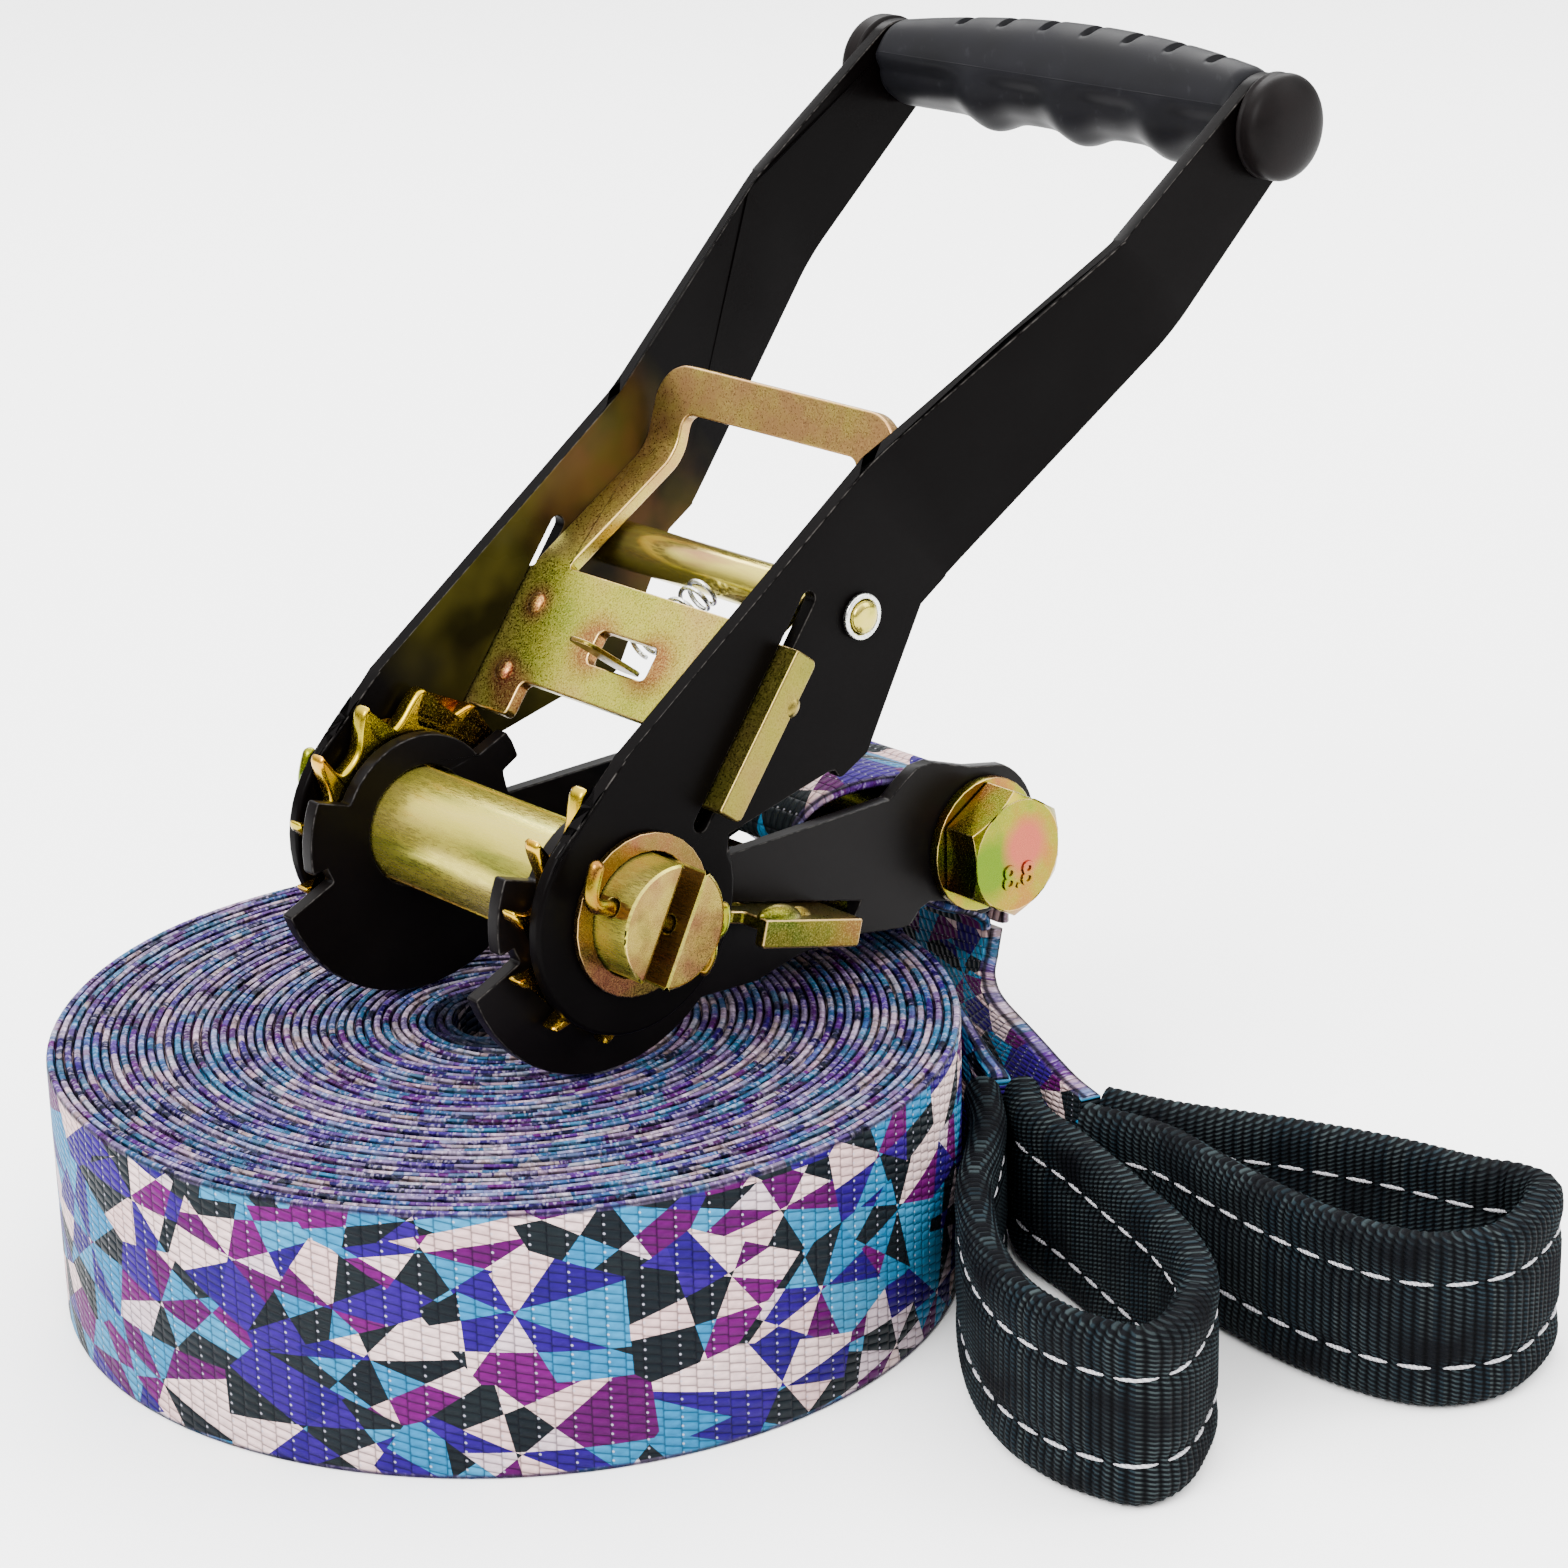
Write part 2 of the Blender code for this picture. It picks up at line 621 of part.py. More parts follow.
# Webbing coil
def make_coil():
    """A spiral of webbing standing on its edge, wound clockwise outwards."""
    steps = COIL_TURNS * COIL_POINTS_PER_TURN
    inner, outer = [], []
    for n in range(steps + 1):
        turns = n / COIL_POINTS_PER_TURN
        degrees = COIL_END_DEGREES + 360.0 * (COIL_TURNS - turns)
        radius = COIL_CORE_RADIUS + COIL_PITCH * turns
        inner.append(polar(radius - COIL_WEB_THICKNESS / 2, degrees))
        outer.append(polar(radius + COIL_WEB_THICKNESS / 2, degrees))
    least = min(
        math.dist(inner[n + COIL_POINTS_PER_TURN], outer[n])
        for n in range(steps + 1 - COIL_POINTS_PER_TURN)
    )
    print(f"coil: least gap between its turns {least * 1000:.2f} mm")
    mesh = plate_mesh("main_line_coil", [inner + outer[::-1]], WEBBING_WIDTH)
    move_mesh(mesh, Matrix.Translation((0.0, 0.0, WEBBING_WIDTH / 2)))
    add_piece("main_line_coil", mesh, PRINTED_WEBBING, STAND)


def make_tail():
    """The webbing from the coil to its loop, folded narrower and thicker on the way."""
    points = smooth_route(sized(TAIL_SHARES, COIL_RADIUS), LOOP_STEP)
    sides = side_normals(points)
    rings = []
    for n, (point, side) in enumerate(zip(points, sides)):
        part = n / (len(points) - 1)
        height = WEBBING_WIDTH + (SLEEVE_HEIGHT - WEBBING_WIDTH) * part
        half = (COIL_WEB_THICKNESS + (FOLDED_WEB_THICKNESS - COIL_WEB_THICKNESS) * part) / 2
        left, right = point + side * half, point - side * half
        rings.append([(*left, 0.0), (*right, 0.0), (*right, height), (*left, height)])
    add_piece("main_line_tail", loft_mesh("main_line_tail", rings), PRINTED_WEBBING, STAND)


def make_sleeve(name, shares):
    """A padded sleeve over a sewn loop, standing on its edge."""
    points = smooth_route(sized(shares, COIL_RADIUS), LOOP_STEP)
    mesh = plate_mesh(name, [ribbon_outline(points, SLEEVE_THICKNESS)], SLEEVE_HEIGHT)
    move_mesh(mesh, Matrix.Translation((0.0, 0.0, SLEEVE_HEIGHT / 2)))
    sleeve = add_piece(name, mesh, SLEEVE_WEBBING, STAND)
    round_edges(sleeve, SLEEVE_EDGE_ROUND, 1, 60.0)


# Base of the ratchet
def base_outline():
    """Disc with its two lock notches and the arm to the anchor bolt."""
    return (
        arc(NECK_RADIUS, 36, 153)
        + arc(LOBE_RADIUS, 155.5, 186.0)
        + sized(OPEN_NOTCH_SHARES, LOBE_RADIUS)
        + arc(DISC_RADIUS, 198.5, 310.0)
        + sized(ARM_UNDERSIDE_SHARES, ARM_REACH)
        + arc(ARM_END_RADIUS, -86.0, 62.0, BOLT_PLACE)
        + sized(ARM_TOPSIDE_SHARES, ARM_REACH)
        + sized(CLOSED_NOTCH_SHARES, LOBE_RADIUS)
    )


def lock_slot():
    """The slot that the lock pawl slides in, with clearance on every side."""
    low = -LOCK_DROP - LOCK_THICKNESS / 2 - FIT_GAP
    high = -LOCK_DROP + LOCK_THICKNESS / 2 + FIT_GAP
    start = LOCK_PLATE_START - LOCK_RETURN - FIT_GAP
    end = LOCK_PLATE_END + LOCK_PULL + FIT_GAP
    corners = [(start, low), (end, low), (end, high), (start, high)]
    return turned_points(corners, LOCK_ANGLE_DEGREES)


def make_base_plates():
    for side, sign in SIDES:
        name = f"base_plate_{side}"
        loops = [
            base_outline(), circle(SPINDLE_HOLE_RADIUS), circle(BOLT_RADIUS + FIT_GAP, BOLT_PLACE),
            lock_slot(),
        ]
        mesh = plate_mesh(name, loops, BASE_PLATE_THICKNESS)
        move_mesh(mesh, Matrix.Translation((0.0, 0.0, sign * BASE_PLATE_MIDDLE)))
        add_piece(name, mesh, BLACK_STEEL, RATCHET)


def hex_mesh(name, width, low, high):
    shape = bmesh.new()
    corner = width / math.sqrt(3)
    bmesh.ops.create_cone(
        shape, cap_ends=True, segments=6, radius1=corner, radius2=corner, depth=high - low,
        matrix=Matrix.Translation((*BOLT_PLACE, (low + high) / 2)),
    )
    return tidy_mesh(name, shape)


def chamfer_blank(name, width, face, depth, outward):
    """A turned blank whose cone takes the corners off a hexagon at its outer face."""
    corner = width / math.sqrt(3)
    slope = (corner - width / 2) * BOLT_CHAMFER_SHARE
    middle, bottom = face - outward * slope, face - outward * (depth + CUT_OVERRUN)
    wide = corner + CUT_OVERRUN
    edge = face - outward * (slope + CUT_OVERRUN * BOLT_CHAMFER_SHARE)
    profile = [
        (0.0, face), (width / 2, face), (corner, middle), (wide, edge), (wide, bottom), (0.0, bottom),
    ]
    if outward < 0:
        profile = profile[::-1]
    blank = turned_piece(name, profile, PLATED_STEEL, RATCHET, (*BOLT_PLACE, 0.0))
    PART.objects.unlink(blank)
    CUTTERS.objects.link(blank)
    blank.display_type = "WIRE"
    blank.hide_render = True
    return blank


def make_anchor_bolt():
    """Bolt with head in front and nut behind, a washer under each, and the spacer tube."""
    washer_low = BASE_PLATE_OUTSIDE + FIT_GAP
    washer_high = washer_low + BOLT_WASHER_THICKNESS
    head_low = washer_high + FIT_GAP
    head_face = head_low + BOLT_HEAD_HEIGHT
    nut_face = head_low + BOLT_NUT_HEIGHT
    shank_end = nut_face + BOLT_END
    head = hex_mesh("anchor_bolt", BOLT_HEAD_WIDTH, head_low, head_face)
    bolt = add_piece("anchor_bolt", head, PLATED_STEEL, RATCHET)
    blank = chamfer_blank("bolt_head_chamfer", BOLT_HEAD_WIDTH, head_face, BOLT_HEAD_HEIGHT, 1.0)
    combine(bolt, blank, "INTERSECT")
    shank = rod_mesh("bolt_shank", BOLT_RADIUS, -shank_end, head_low + BOLT_HEAD_HEIGHT / 2)
    move_mesh(shank, Matrix.Translation((*BOLT_PLACE, 0.0)))
    combine(bolt, add_cutter("bolt_shank", shank, RATCHET), "UNION")
    block = hex_mesh("anchor_nut", BOLT_HEAD_WIDTH, -nut_face, -head_low)
    nut = add_piece("anchor_nut", block, PLATED_STEEL, RATCHET)
    blank = chamfer_blank("nut_chamfer", BOLT_HEAD_WIDTH, -nut_face, BOLT_NUT_HEIGHT, -1.0)
    combine(nut, blank, "INTERSECT")
    bore = rod_mesh("nut_bore", BOLT_RADIUS + FIT_GAP, -nut_face - CUT_OVERRUN, CUT_OVERRUN - head_low)
    move_mesh(bore, Matrix.Translation((*BOLT_PLACE, 0.0)))
    combine(nut, add_cutter("nut_bore", bore, RATCHET), "DIFFERENCE")
    ring = [circle(BOLT_WASHER_RADIUS, BOLT_PLACE), circle(BOLT_RADIUS + FIT_GAP, BOLT_PLACE)]
    for side, sign in SIDES:
        washer = plate_mesh(f"anchor_washer_{side}", ring, BOLT_WASHER_THICKNESS)
        move_mesh(washer, Matrix.Translation((0.0, 0.0, sign * (washer_low + washer_high) / 2)))
        add_piece(f"anchor_washer_{side}", washer, PLATED_STEEL, RATCHET)
    tube_loops = [circle(SPACER_RADIUS, BOLT_PLACE), circle(BOLT_RADIUS + FIT_GAP, BOLT_PLACE)]
    tube = plate_mesh("anchor_spacer_tube", tube_loops, BASE_INNER_WIDTH - 2 * FIT_GAP)
    add_piece("anchor_spacer_tube", tube, PLATED_STEEL, RATCHET)


# Anchor strap
def from_bolt(shares):
    """Places round the bolt, in shares of the radius that the strap's middle turns on."""
    return [(BOLT_PLACE[0] + x, BOLT_PLACE[1] + y) for x, y in sized(shares, STRAP_SEAT)]


def make_anchor_strap():
    """The strap round the bolt's tube and back, drawn in the ratchet's side view."""
    bend = arc(STRAP_SEAT, *STRAP_WRAP_ARC_DEGREES, BOLT_PLACE)[::2]
    route = from_bolt(STRAP_WRAP_START_SHARES) + bend + from_bolt(STRAP_WRAP_LOOP_SHARES)
    points = smooth_route(route, WRAP_STEP)
    mesh = plate_mesh("anchor_strap_wrap", [ribbon_outline(points, STRAP_THICKNESS)], WEBBING_WIDTH)
    add_piece("anchor_strap_wrap", mesh, PRINTED_WEBBING, RATCHET)
    make_hanging_strap()


def strap_edge(side, end_height, shares):
    """One edge of the hanging strap, between its place at the bolt and its end at the loop."""
    top = Vector((*from_bolt([STRAP_TOP_SHARES])[0], side * WEBBING_WIDTH / 2))
    loop_start = Vector(sized(STRAP_LOOP_SHARES, COIL_RADIUS)[0])
    place = loop_start + Vector(STRAP_END_SHARES) * SLEEVE_THICKNESS - RATCHET_PLACE
    end = Vector((place.dot(ALONG), end_height - SPINDLE_HEIGHT, place.dot(FRONTWARD)))
    reach = end - top
    route = [top + Vector((reach.x * x, reach.y * y, reach.z * z)) for x, y, z in shares]
    return curve_through(route, 2)


def make_hanging_strap():
    """The strap from the bolt down to its loop, turning from flat across to upright."""
    near = strap_edge(1.0, SLEEVE_HEIGHT - STRAP_END_GAP, STRAP_NEAR_EDGE_SHARES)
    far = strap_edge(-1.0, STRAP_FLOOR_GAP, STRAP_FAR_EDGE_SHARES)
    middles = [(one + two) / 2 for one, two in zip(near, far)]
    rings = []
    for n, (one, two) in enumerate(zip(near, far)):
        ahead = middles[min(n + 1, len(middles) - 1)] - middles[max(n - 1, 0)]
        if n == 0:
            ahead = Vector((0.0, -1.0, 0.0))
        through = (two - one).cross(ahead).normalized() * FOLDED_WEB_THICKNESS / 2
        rings.append([one - through, two - through, two + through, one + through])
    add_piece("anchor_strap", loft_mesh("anchor_strap", rings), PRINTED_WEBBING, RATCHET)


# Spindle, wheels and what holds them
def half_round(radius, flat):
    """One half of a split round, above a flat that lies at a height over its middle."""
    edge = math.degrees(math.asin(flat / radius))
    return arc(radius, edge, 180.0 - edge)


def make_spindle():
    flat = SPINDLE_SLOT_WIDTH / 2
    cotter_place = SPINDLE_LENGTH / 2 - COTTER_INSET
    for name, turn in (("spindle_half_upper", 0.0), ("spindle_half_lower", 180.0)):
        outline = turned_points(half_round(SPINDLE_RADIUS, flat), SPINDLE_SLOT_DEGREES + turn)
        mesh = plate_mesh(name, [outline], SPINDLE_LENGTH)
        half = add_piece(name, mesh, PLATED_STEEL, SPINDLE_AXIS)
        round_edges(half, SPINDLE_END_CHAMFER, 1, 80.0)
        for side, sign in SIDES:
            hole_radius = COTTER_RADIUS + COTTER_HOLE_GAP
            hole = rod_mesh("cotter_hole", hole_radius, -WASHER_RADIUS, WASHER_RADIUS, SMALL_SIDES)
            turn_pin = Matrix.Rotation(math.radians(SPINDLE_SLOT_DEGREES + 90.0), 4, "Z")
            lie = Matrix.Rotation(math.radians(90.0), 4, "Y")
            move_mesh(hole, Matrix.Translation((0.0, 0.0, sign * cotter_place)) @ turn_pin @ lie)
            combine(half, add_cutter(f"{name}_{side}_hole", hole, SPINDLE_AXIS), "DIFFERENCE")
    for side, sign in SIDES:
        reach = SPINDLE_RADIUS * COTTER_REACH_SHARE
        leg = sized(COTTER_LEG_SHARES, SPINDLE_RADIUS * COTTER_BEND_SHARE)
        start = [(x - reach, y) for x, y in leg]
        route = start + [(0.0, 0.0)] + [(-x, -y) for x, y in start[::-1]]
        flat_route = turned_points(route, SPINDLE_SLOT_DEGREES + 90.0)
        points = [(x, y, sign * cotter_place) for x, y in flat_route]
        name = f"cotter_pin_{side}"
        add_piece(name, wire_mesh(name, points, COTTER_RADIUS, 2), PLATED_STEEL, SPINDLE_AXIS)
        name = f"spindle_washer_{side}"
        loops = [circle(WASHER_RADIUS), circle(SPINDLE_HOLE_RADIUS)]
        washer = plate_mesh(name, loops, WASHER_THICKNESS)
        lift = HANDLE_OUTSIDE + FIT_GAP + WASHER_THICKNESS / 2
        move_mesh(washer, Matrix.Translation((0.0, 0.0, sign * lift)))
        add_piece(name, washer, PLATED_STEEL, SPINDLE_AXIS)


def wheel_outline():
    """Twelve hooked teeth; each share is of one tooth's angle and of the tooth's height."""
    pitch = 360.0 / WHEEL_TEETH
    height = WHEEL_TIP_RADIUS - WHEEL_ROOT_RADIUS
    return [
        polar(WHEEL_ROOT_RADIUS + height_share * height, WHEEL_GAP_DEGREES + pitch * (n + angle_share))
        for n in range(WHEEL_TEETH)
        for angle_share, height_share in TOOTH_SHARES
    ]


def make_wheels():
    flat = SPINDLE_SLOT_WIDTH / 2 - FIT_GAP
    window = half_round(SPINDLE_RADIUS + FIT_GAP, flat)
    for side, sign in SIDES:
        name = f"ratchet_wheel_{side}"
        windows = [turned_points(window, SPINDLE_SLOT_DEGREES + turn) for turn in (0.0, 180.0)]
        mesh = plate_mesh(name, [wheel_outline(), *windows], WHEEL_THICKNESS)
        move_mesh(mesh, Matrix.Translation((0.0, 0.0, sign * WHEEL_MIDDLE)))
        add_piece(name, mesh, PLATED_STEEL, SPINDLE_AXIS)


# Handle
def handle_outline():
    """Plate from the hub to the grip, along X, with the stop hook under it."""
    grip_place = (HANDLE_REACH, GRIP_ROD_RISE)
    return (
        arc(HANDLE_HUB_RADIUS, 97.0, 348.0)
        + sized(HOOK_SHARES, HOOK_REACH)
        + sized(HANDLE_UNDERSIDE_SHARES, HANDLE_REACH, HANDLE_EDGE)
        + arc(HANDLE_END_RADIUS, -100.0, 90.0, grip_place)
        + sized(HANDLE_TOPSIDE_SHARES, HANDLE_REACH, HANDLE_EDGE)
    )


def make_handle_plates():
    low = -DRIVE_OFFSET - DRIVE_THICKNESS / 2 - FIT_GAP
    high = -DRIVE_OFFSET + DRIVE_THICKNESS / 2 + FIT_GAP
    start = DRIVE_WING_START - DRIVE_RETURN - 2 * FIT_GAP
    end = DRIVE_WING_END + DRIVE_PULL + 2 * FIT_GAP
    straight_slot = slot_outline(start - FIT_GAP, end + FIT_GAP, low, high)
    slot = turned_points(straight_slot, DRIVE_ANGLE_DEGREES - HANDLE_ANGLE_DEGREES)
    rivet_place = turned_points([(CROSS_ROD_X, CROSS_ROD_Y)], -HANDLE_ANGLE_DEGREES)[0]
    loops = [
        handle_outline(), circle(SPINDLE_HOLE_RADIUS), slot,
        circle(CROSS_ROD_END_RADIUS + FIT_GAP, rivet_place, SMALL_SIDES),
        circle(GRIP_ROD_RADIUS + FIT_GAP, (HANDLE_REACH, GRIP_ROD_RISE), SMALL_SIDES),
    ]
    mesh = plate_mesh("handle_plate_front", loops, HANDLE_PLATE_THICKNESS)
    bend_start, bend_end = HANDLE_REACH * BEND_START_SHARE, HANDLE_REACH * BEND_END_SHARE
    split_along_x(mesh, (bend_start, bend_end))
    for vertex in mesh.vertices:
        part = (vertex.co.x - bend_start) / (bend_end - bend_start)
        vertex.co.z += HANDLE_MIDDLE + HANDLE_SPREAD * min(1.0, max(0.0, part))
    move_mesh(mesh, Matrix.Rotation(math.radians(HANDLE_ANGLE_DEGREES), 4, "Z"))
    other = mirrored_mesh("handle_plate_back", mesh)
    add_piece("handle_plate_front", mesh, BLACK_STEEL, HANDLE_HINGE)
    add_piece("handle_plate_back", other, BLACK_STEEL, HANDLE_HINGE)


def grip_ring(z, half_length):
    """One section of the grip: squarish, arched above, with finger swells below."""
    part = z / half_length
    arch = GRIP_END_HEIGHT + (GRIP_HEIGHT - GRIP_END_HEIGHT) * (1.0 - part * part)
    swell = GRIP_FINGER_DEPTH * (0.5 + 0.5 * math.cos(math.pi * GRIP_FINGERS * part)) * (1.0 - part ** 6)
    above = arch / 2
    below = GRIP_END_HEIGHT / 2 + swell
    ring = []
    for n in range(GRIP_RING_POINTS):
        angle = 2.0 * math.pi * n / GRIP_RING_POINTS
        c, s = math.cos(angle), math.sin(angle)
        along = math.copysign(abs(c) ** (2.0 / GRIP_CORNER_POWER), c)
        aside = math.copysign(abs(s) ** (2.0 / GRIP_CORNER_POWER), s)
        ring.append((along * (above if along > 0.0 else below), aside * GRIP_DEPTH / 2, z))
    return ring


def make_grip():
    half_length = HANDLE_WIDE_MIDDLE - HANDLE_PLATE_THICKNESS / 2 - FIT_GAP
    places = [half_length * (2.0 * n / (GRIP_SECTIONS - 1) - 1.0) for n in range(GRIP_SECTIONS)]
    turn = Matrix.Rotation(math.radians(HANDLE_ANGLE_DEGREES), 4, "Z")
    place = turn @ Matrix.Translation((HANDLE_REACH, GRIP_ROD_RISE, 0.0))
    mesh = loft_mesh("grip", [grip_ring(z, half_length) for z in places])
    grip = add_piece("grip", move_mesh(mesh, place), GREY_PLASTIC, HANDLE_HINGE)
    bore_end = half_length + CUT_OVERRUN
    bore = rod_mesh("grip_bore", GRIP_ROD_RADIUS + FIT_GAP, -bore_end, bore_end, SMALL_SIDES)
    combine(grip, add_cutter("grip_bore", move_mesh(bore, place), HANDLE_HINGE), "DIFFERENCE")
    for n in range(GRIP_NOTCHES):
        z = GRIP_NOTCH_PITCH * (n - (GRIP_NOTCHES - 1) / 2)
        part = z / half_length
        top = (GRIP_END_HEIGHT + (GRIP_HEIGHT - GRIP_END_HEIGHT) * (1.0 - part * part)) / 2
        notch = box_mesh(
            "grip_notch", (top - GRIP_NOTCH_DEPTH, -GRIP_NOTCH_LENGTH / 2, z - GRIP_NOTCH_WIDTH / 2),
            (top + CUT_OVERRUN, GRIP_NOTCH_LENGTH / 2, z + GRIP_NOTCH_WIDTH / 2))
        cutter = add_cutter(f"grip_notch_{n + 1}", move_mesh(notch, place), HANDLE_HINGE)
        combine(grip, cutter, "DIFFERENCE")


def make_grip_rod_and_caps():
    turn = Matrix.Rotation(math.radians(HANDLE_ANGLE_DEGREES), 4, "Z")
    spot = turn @ Vector((HANDLE_REACH, GRIP_ROD_RISE, 0.0))
    cap_low = HANDLE_WIDE_MIDDLE + HANDLE_PLATE_THICKNESS / 2 + FIT_GAP
    socket_end = cap_low + CAP_HEIGHT * CAP_SOCKET_SHARE
    rod_end = socket_end - FIT_GAP
    rod = rod_mesh("grip_rod", GRIP_ROD_RADIUS, -rod_end, rod_end, SMALL_SIDES)
    add_piece("grip_rod", move_mesh(rod, Matrix.Translation(spot)), BRIGHT_STEEL, HANDLE_HINGE)
    rim = cap_low + CAP_HEIGHT * CAP_RIM_SHARE
    top = cap_low + CAP_HEIGHT
    dome = [
        (CAP_RADIUS * math.sin(math.radians(angle)), rim + (top - rim) * math.cos(math.radians(angle)))
        for angle in range(0, 91, 15)
    ]
    socket = GRIP_ROD_RADIUS + FIT_GAP
    profile = dome + [(CAP_RADIUS, cap_low), (socket, cap_low), (socket, socket_end), (0.0, socket_end)]
    for side, sign in SIDES:
        name = f"grip_cap_{side}"
        cap = turned_piece(name, profile, BLACK_RUBBER, HANDLE_HINGE, spot, sides=CAP_SIDES)
        cap.rotation_euler = (0.0 if sign > 0.0 else math.pi, 0.0, 0.0)


def make_cross_rod():
    """Stay between the handle plates, riveted over a ring at each end."""
    ring_high = HANDLE_OUTSIDE + FIT_GAP + RIVET_RING_THICKNESS
    head = ring_high + CROSS_ROD_HEAD
    collar_low = DRIVE_SPAN - CROSS_ROD_COLLAR_LENGTH
    upper = [
        (0.0, head), (CROSS_ROD_END_RADIUS * RIVET_FLAT_SHARE, head),
        (CROSS_ROD_END_RADIUS, head - CROSS_ROD_HEAD * RIVET_ROUND_SHARE),
        (CROSS_ROD_END_RADIUS, DRIVE_SPAN), (CROSS_ROD_COLLAR_RADIUS, DRIVE_SPAN),
        (CROSS_ROD_COLLAR_RADIUS, collar_low), (CROSS_ROD_RADIUS, collar_low),
    ]
    profile = upper + [(radius, -height) for radius, height in upper[::-1]]
    spot = (CROSS_ROD_X, CROSS_ROD_Y, 0.0)
    turned_piece("cross_rod", profile, PLATED_STEEL, HANDLE_HINGE, spot, sides=SMALL_SIDES)
    hole = CROSS_ROD_END_RADIUS + FIT_GAP
    for side, sign in SIDES:
        name = f"rivet_ring_{side}"
        loops = [circle(RIVET_RING_RADIUS, spot), circle(hole, spot, SMALL_SIDES)]
        ring = plate_mesh(name, loops, RIVET_RING_THICKNESS)
        move_mesh(ring, Matrix.Translation((0.0, 0.0, sign * (ring_high - RIVET_RING_THICKNESS / 2))))
        add_piece(name, ring, BRIGHT_STEEL, HANDLE_HINGE)


# Pawls
def mirrored_outline(half):
    """A closed outline from its upper half, mirrored in the X axis."""
    return half + [(x, -y) for x, y in half[::-1]]


def make_drive_pawl():
    """Bent sheet: two teeth, wings through the handle slots, and a pull bar."""
    leg_one = math.hypot(DRIVE_RISE_LENGTH, DRIVE_RISE_HEIGHT)
    leg_two = math.hypot(DRIVE_END_LENGTH, DRIVE_END_DROP)
    bar_end = DRIVE_PLATE_END + leg_one + leg_two
    outside = DRIVE_SPAN - FIT_GAP
    tooth_inside = DRIVE_SPAN - DRIVE_TOOTH_WIDTH
    corner = DRIVE_CORNER_RADIUS
    upper = [
        (DRIVE_PLATE_START, tooth_inside), (PAWL_TIP, tooth_inside), (PAWL_TIP, DRIVE_SPAN),
        (DRIVE_WING_START, DRIVE_SPAN), (DRIVE_WING_START, DRIVE_WING_REACH),
        (DRIVE_WING_END, DRIVE_WING_REACH), (DRIVE_WING_END, outside),
    ]
    upper += arc(corner, 90.0, 0.0, (bar_end - corner, outside - corner))
    window_end = bar_end - DRIVE_LEG_WIDTH
    inside = outside - DRIVE_LEG_WIDTH
    inner = DRIVE_INNER_CORNER_RADIUS
    window_corner = arc(inner, 90.0, 0.0, (window_end - inner, inside - inner))
    window = mirrored_outline([(DRIVE_PLATE_END, inside), *window_corner])
    slot_low = GUIDE_SLOT_PLACE - GUIDE_SLOT_WIDTH / 2
    slot_high = GUIDE_SLOT_PLACE + GUIDE_SLOT_WIDTH / 2
    guide_slot = mirrored_outline([(slot_low, GUIDE_SLOT_LENGTH / 2), (slot_high, GUIDE_SLOT_LENGTH / 2)])
    mesh = plate_mesh("drive_pawl", [mirrored_outline(upper), window, guide_slot], DRIVE_THICKNESS)
    bends = ((DRIVE_RISE_LENGTH, DRIVE_RISE_HEIGHT), (DRIVE_END_LENGTH, -DRIVE_END_DROP))
    fold_sheet(mesh, DRIVE_PLATE_END, bends)
    lay = Matrix.Translation((0.0, -DRIVE_OFFSET, 0.0)) @ UPRIGHT
    pawl = add_piece("drive_pawl", move_mesh(mesh, lay), PLATED_STEEL, DRIVE_GUIDE)
    face = DRIVE_OFFSET + DRIVE_THICKNESS / 2
    for side, sign in SIDES:
        edge, inner_edge = sign * DRIVE_WING_REACH, sign * (DRIVE_WING_REACH - DRIVE_THICKNESS)
        flange = box_mesh(
            "drive_pawl_flange", (DRIVE_WING_START, -face - DRIVE_FLANGE_DROP, min(edge, inner_edge)),
            (DRIVE_WING_END, -face + DRIVE_THICKNESS / 2, max(edge, inner_edge)))
        combine(pawl, add_cutter(f"drive_pawl_flange_{side}", flange, DRIVE_GUIDE), "UNION")


def drive_spring_line():
    """Start of the guide in the pawl's slot and its direction to the cross rod."""
    start = Vector((GUIDE_SLOT_PLACE, -DRIVE_OFFSET, 0.0))
    rod = turned_points([(CROSS_ROD_X, CROSS_ROD_Y)], -DRIVE_ANGLE_DEGREES)[0]
    reach = Vector((*rod, 0.0)) - start
    return start, reach.normalized(), reach.length


def make_spring_guide():
    """Thin strip with a wide head through the pawl's slot and a narrow tail in the spring."""
    start, direction, _ = drive_spring_line()
    head, tail = GUIDE_HEAD_WIDTH / 2, GUIDE_TAIL_WIDTH / 2
    half = [
        (-GUIDE_HEAD_RISE, head), (GUIDE_HEAD_DROP, head), (GUIDE_HEAD_DROP, tail), (GUIDE_TAIL_DROP, tail),
    ]
    mesh = plate_mesh("spring_guide", [mirrored_outline(half)], GUIDE_THICKNESS)
    tilt = Matrix.Rotation(math.atan2(direction.y, direction.x), 4, "Z")
    move_mesh(mesh, Matrix.Translation(start) @ tilt @ UPRIGHT)
    add_piece("spring_guide", mesh, BRIGHT_STEEL, DRIVE_GUIDE)


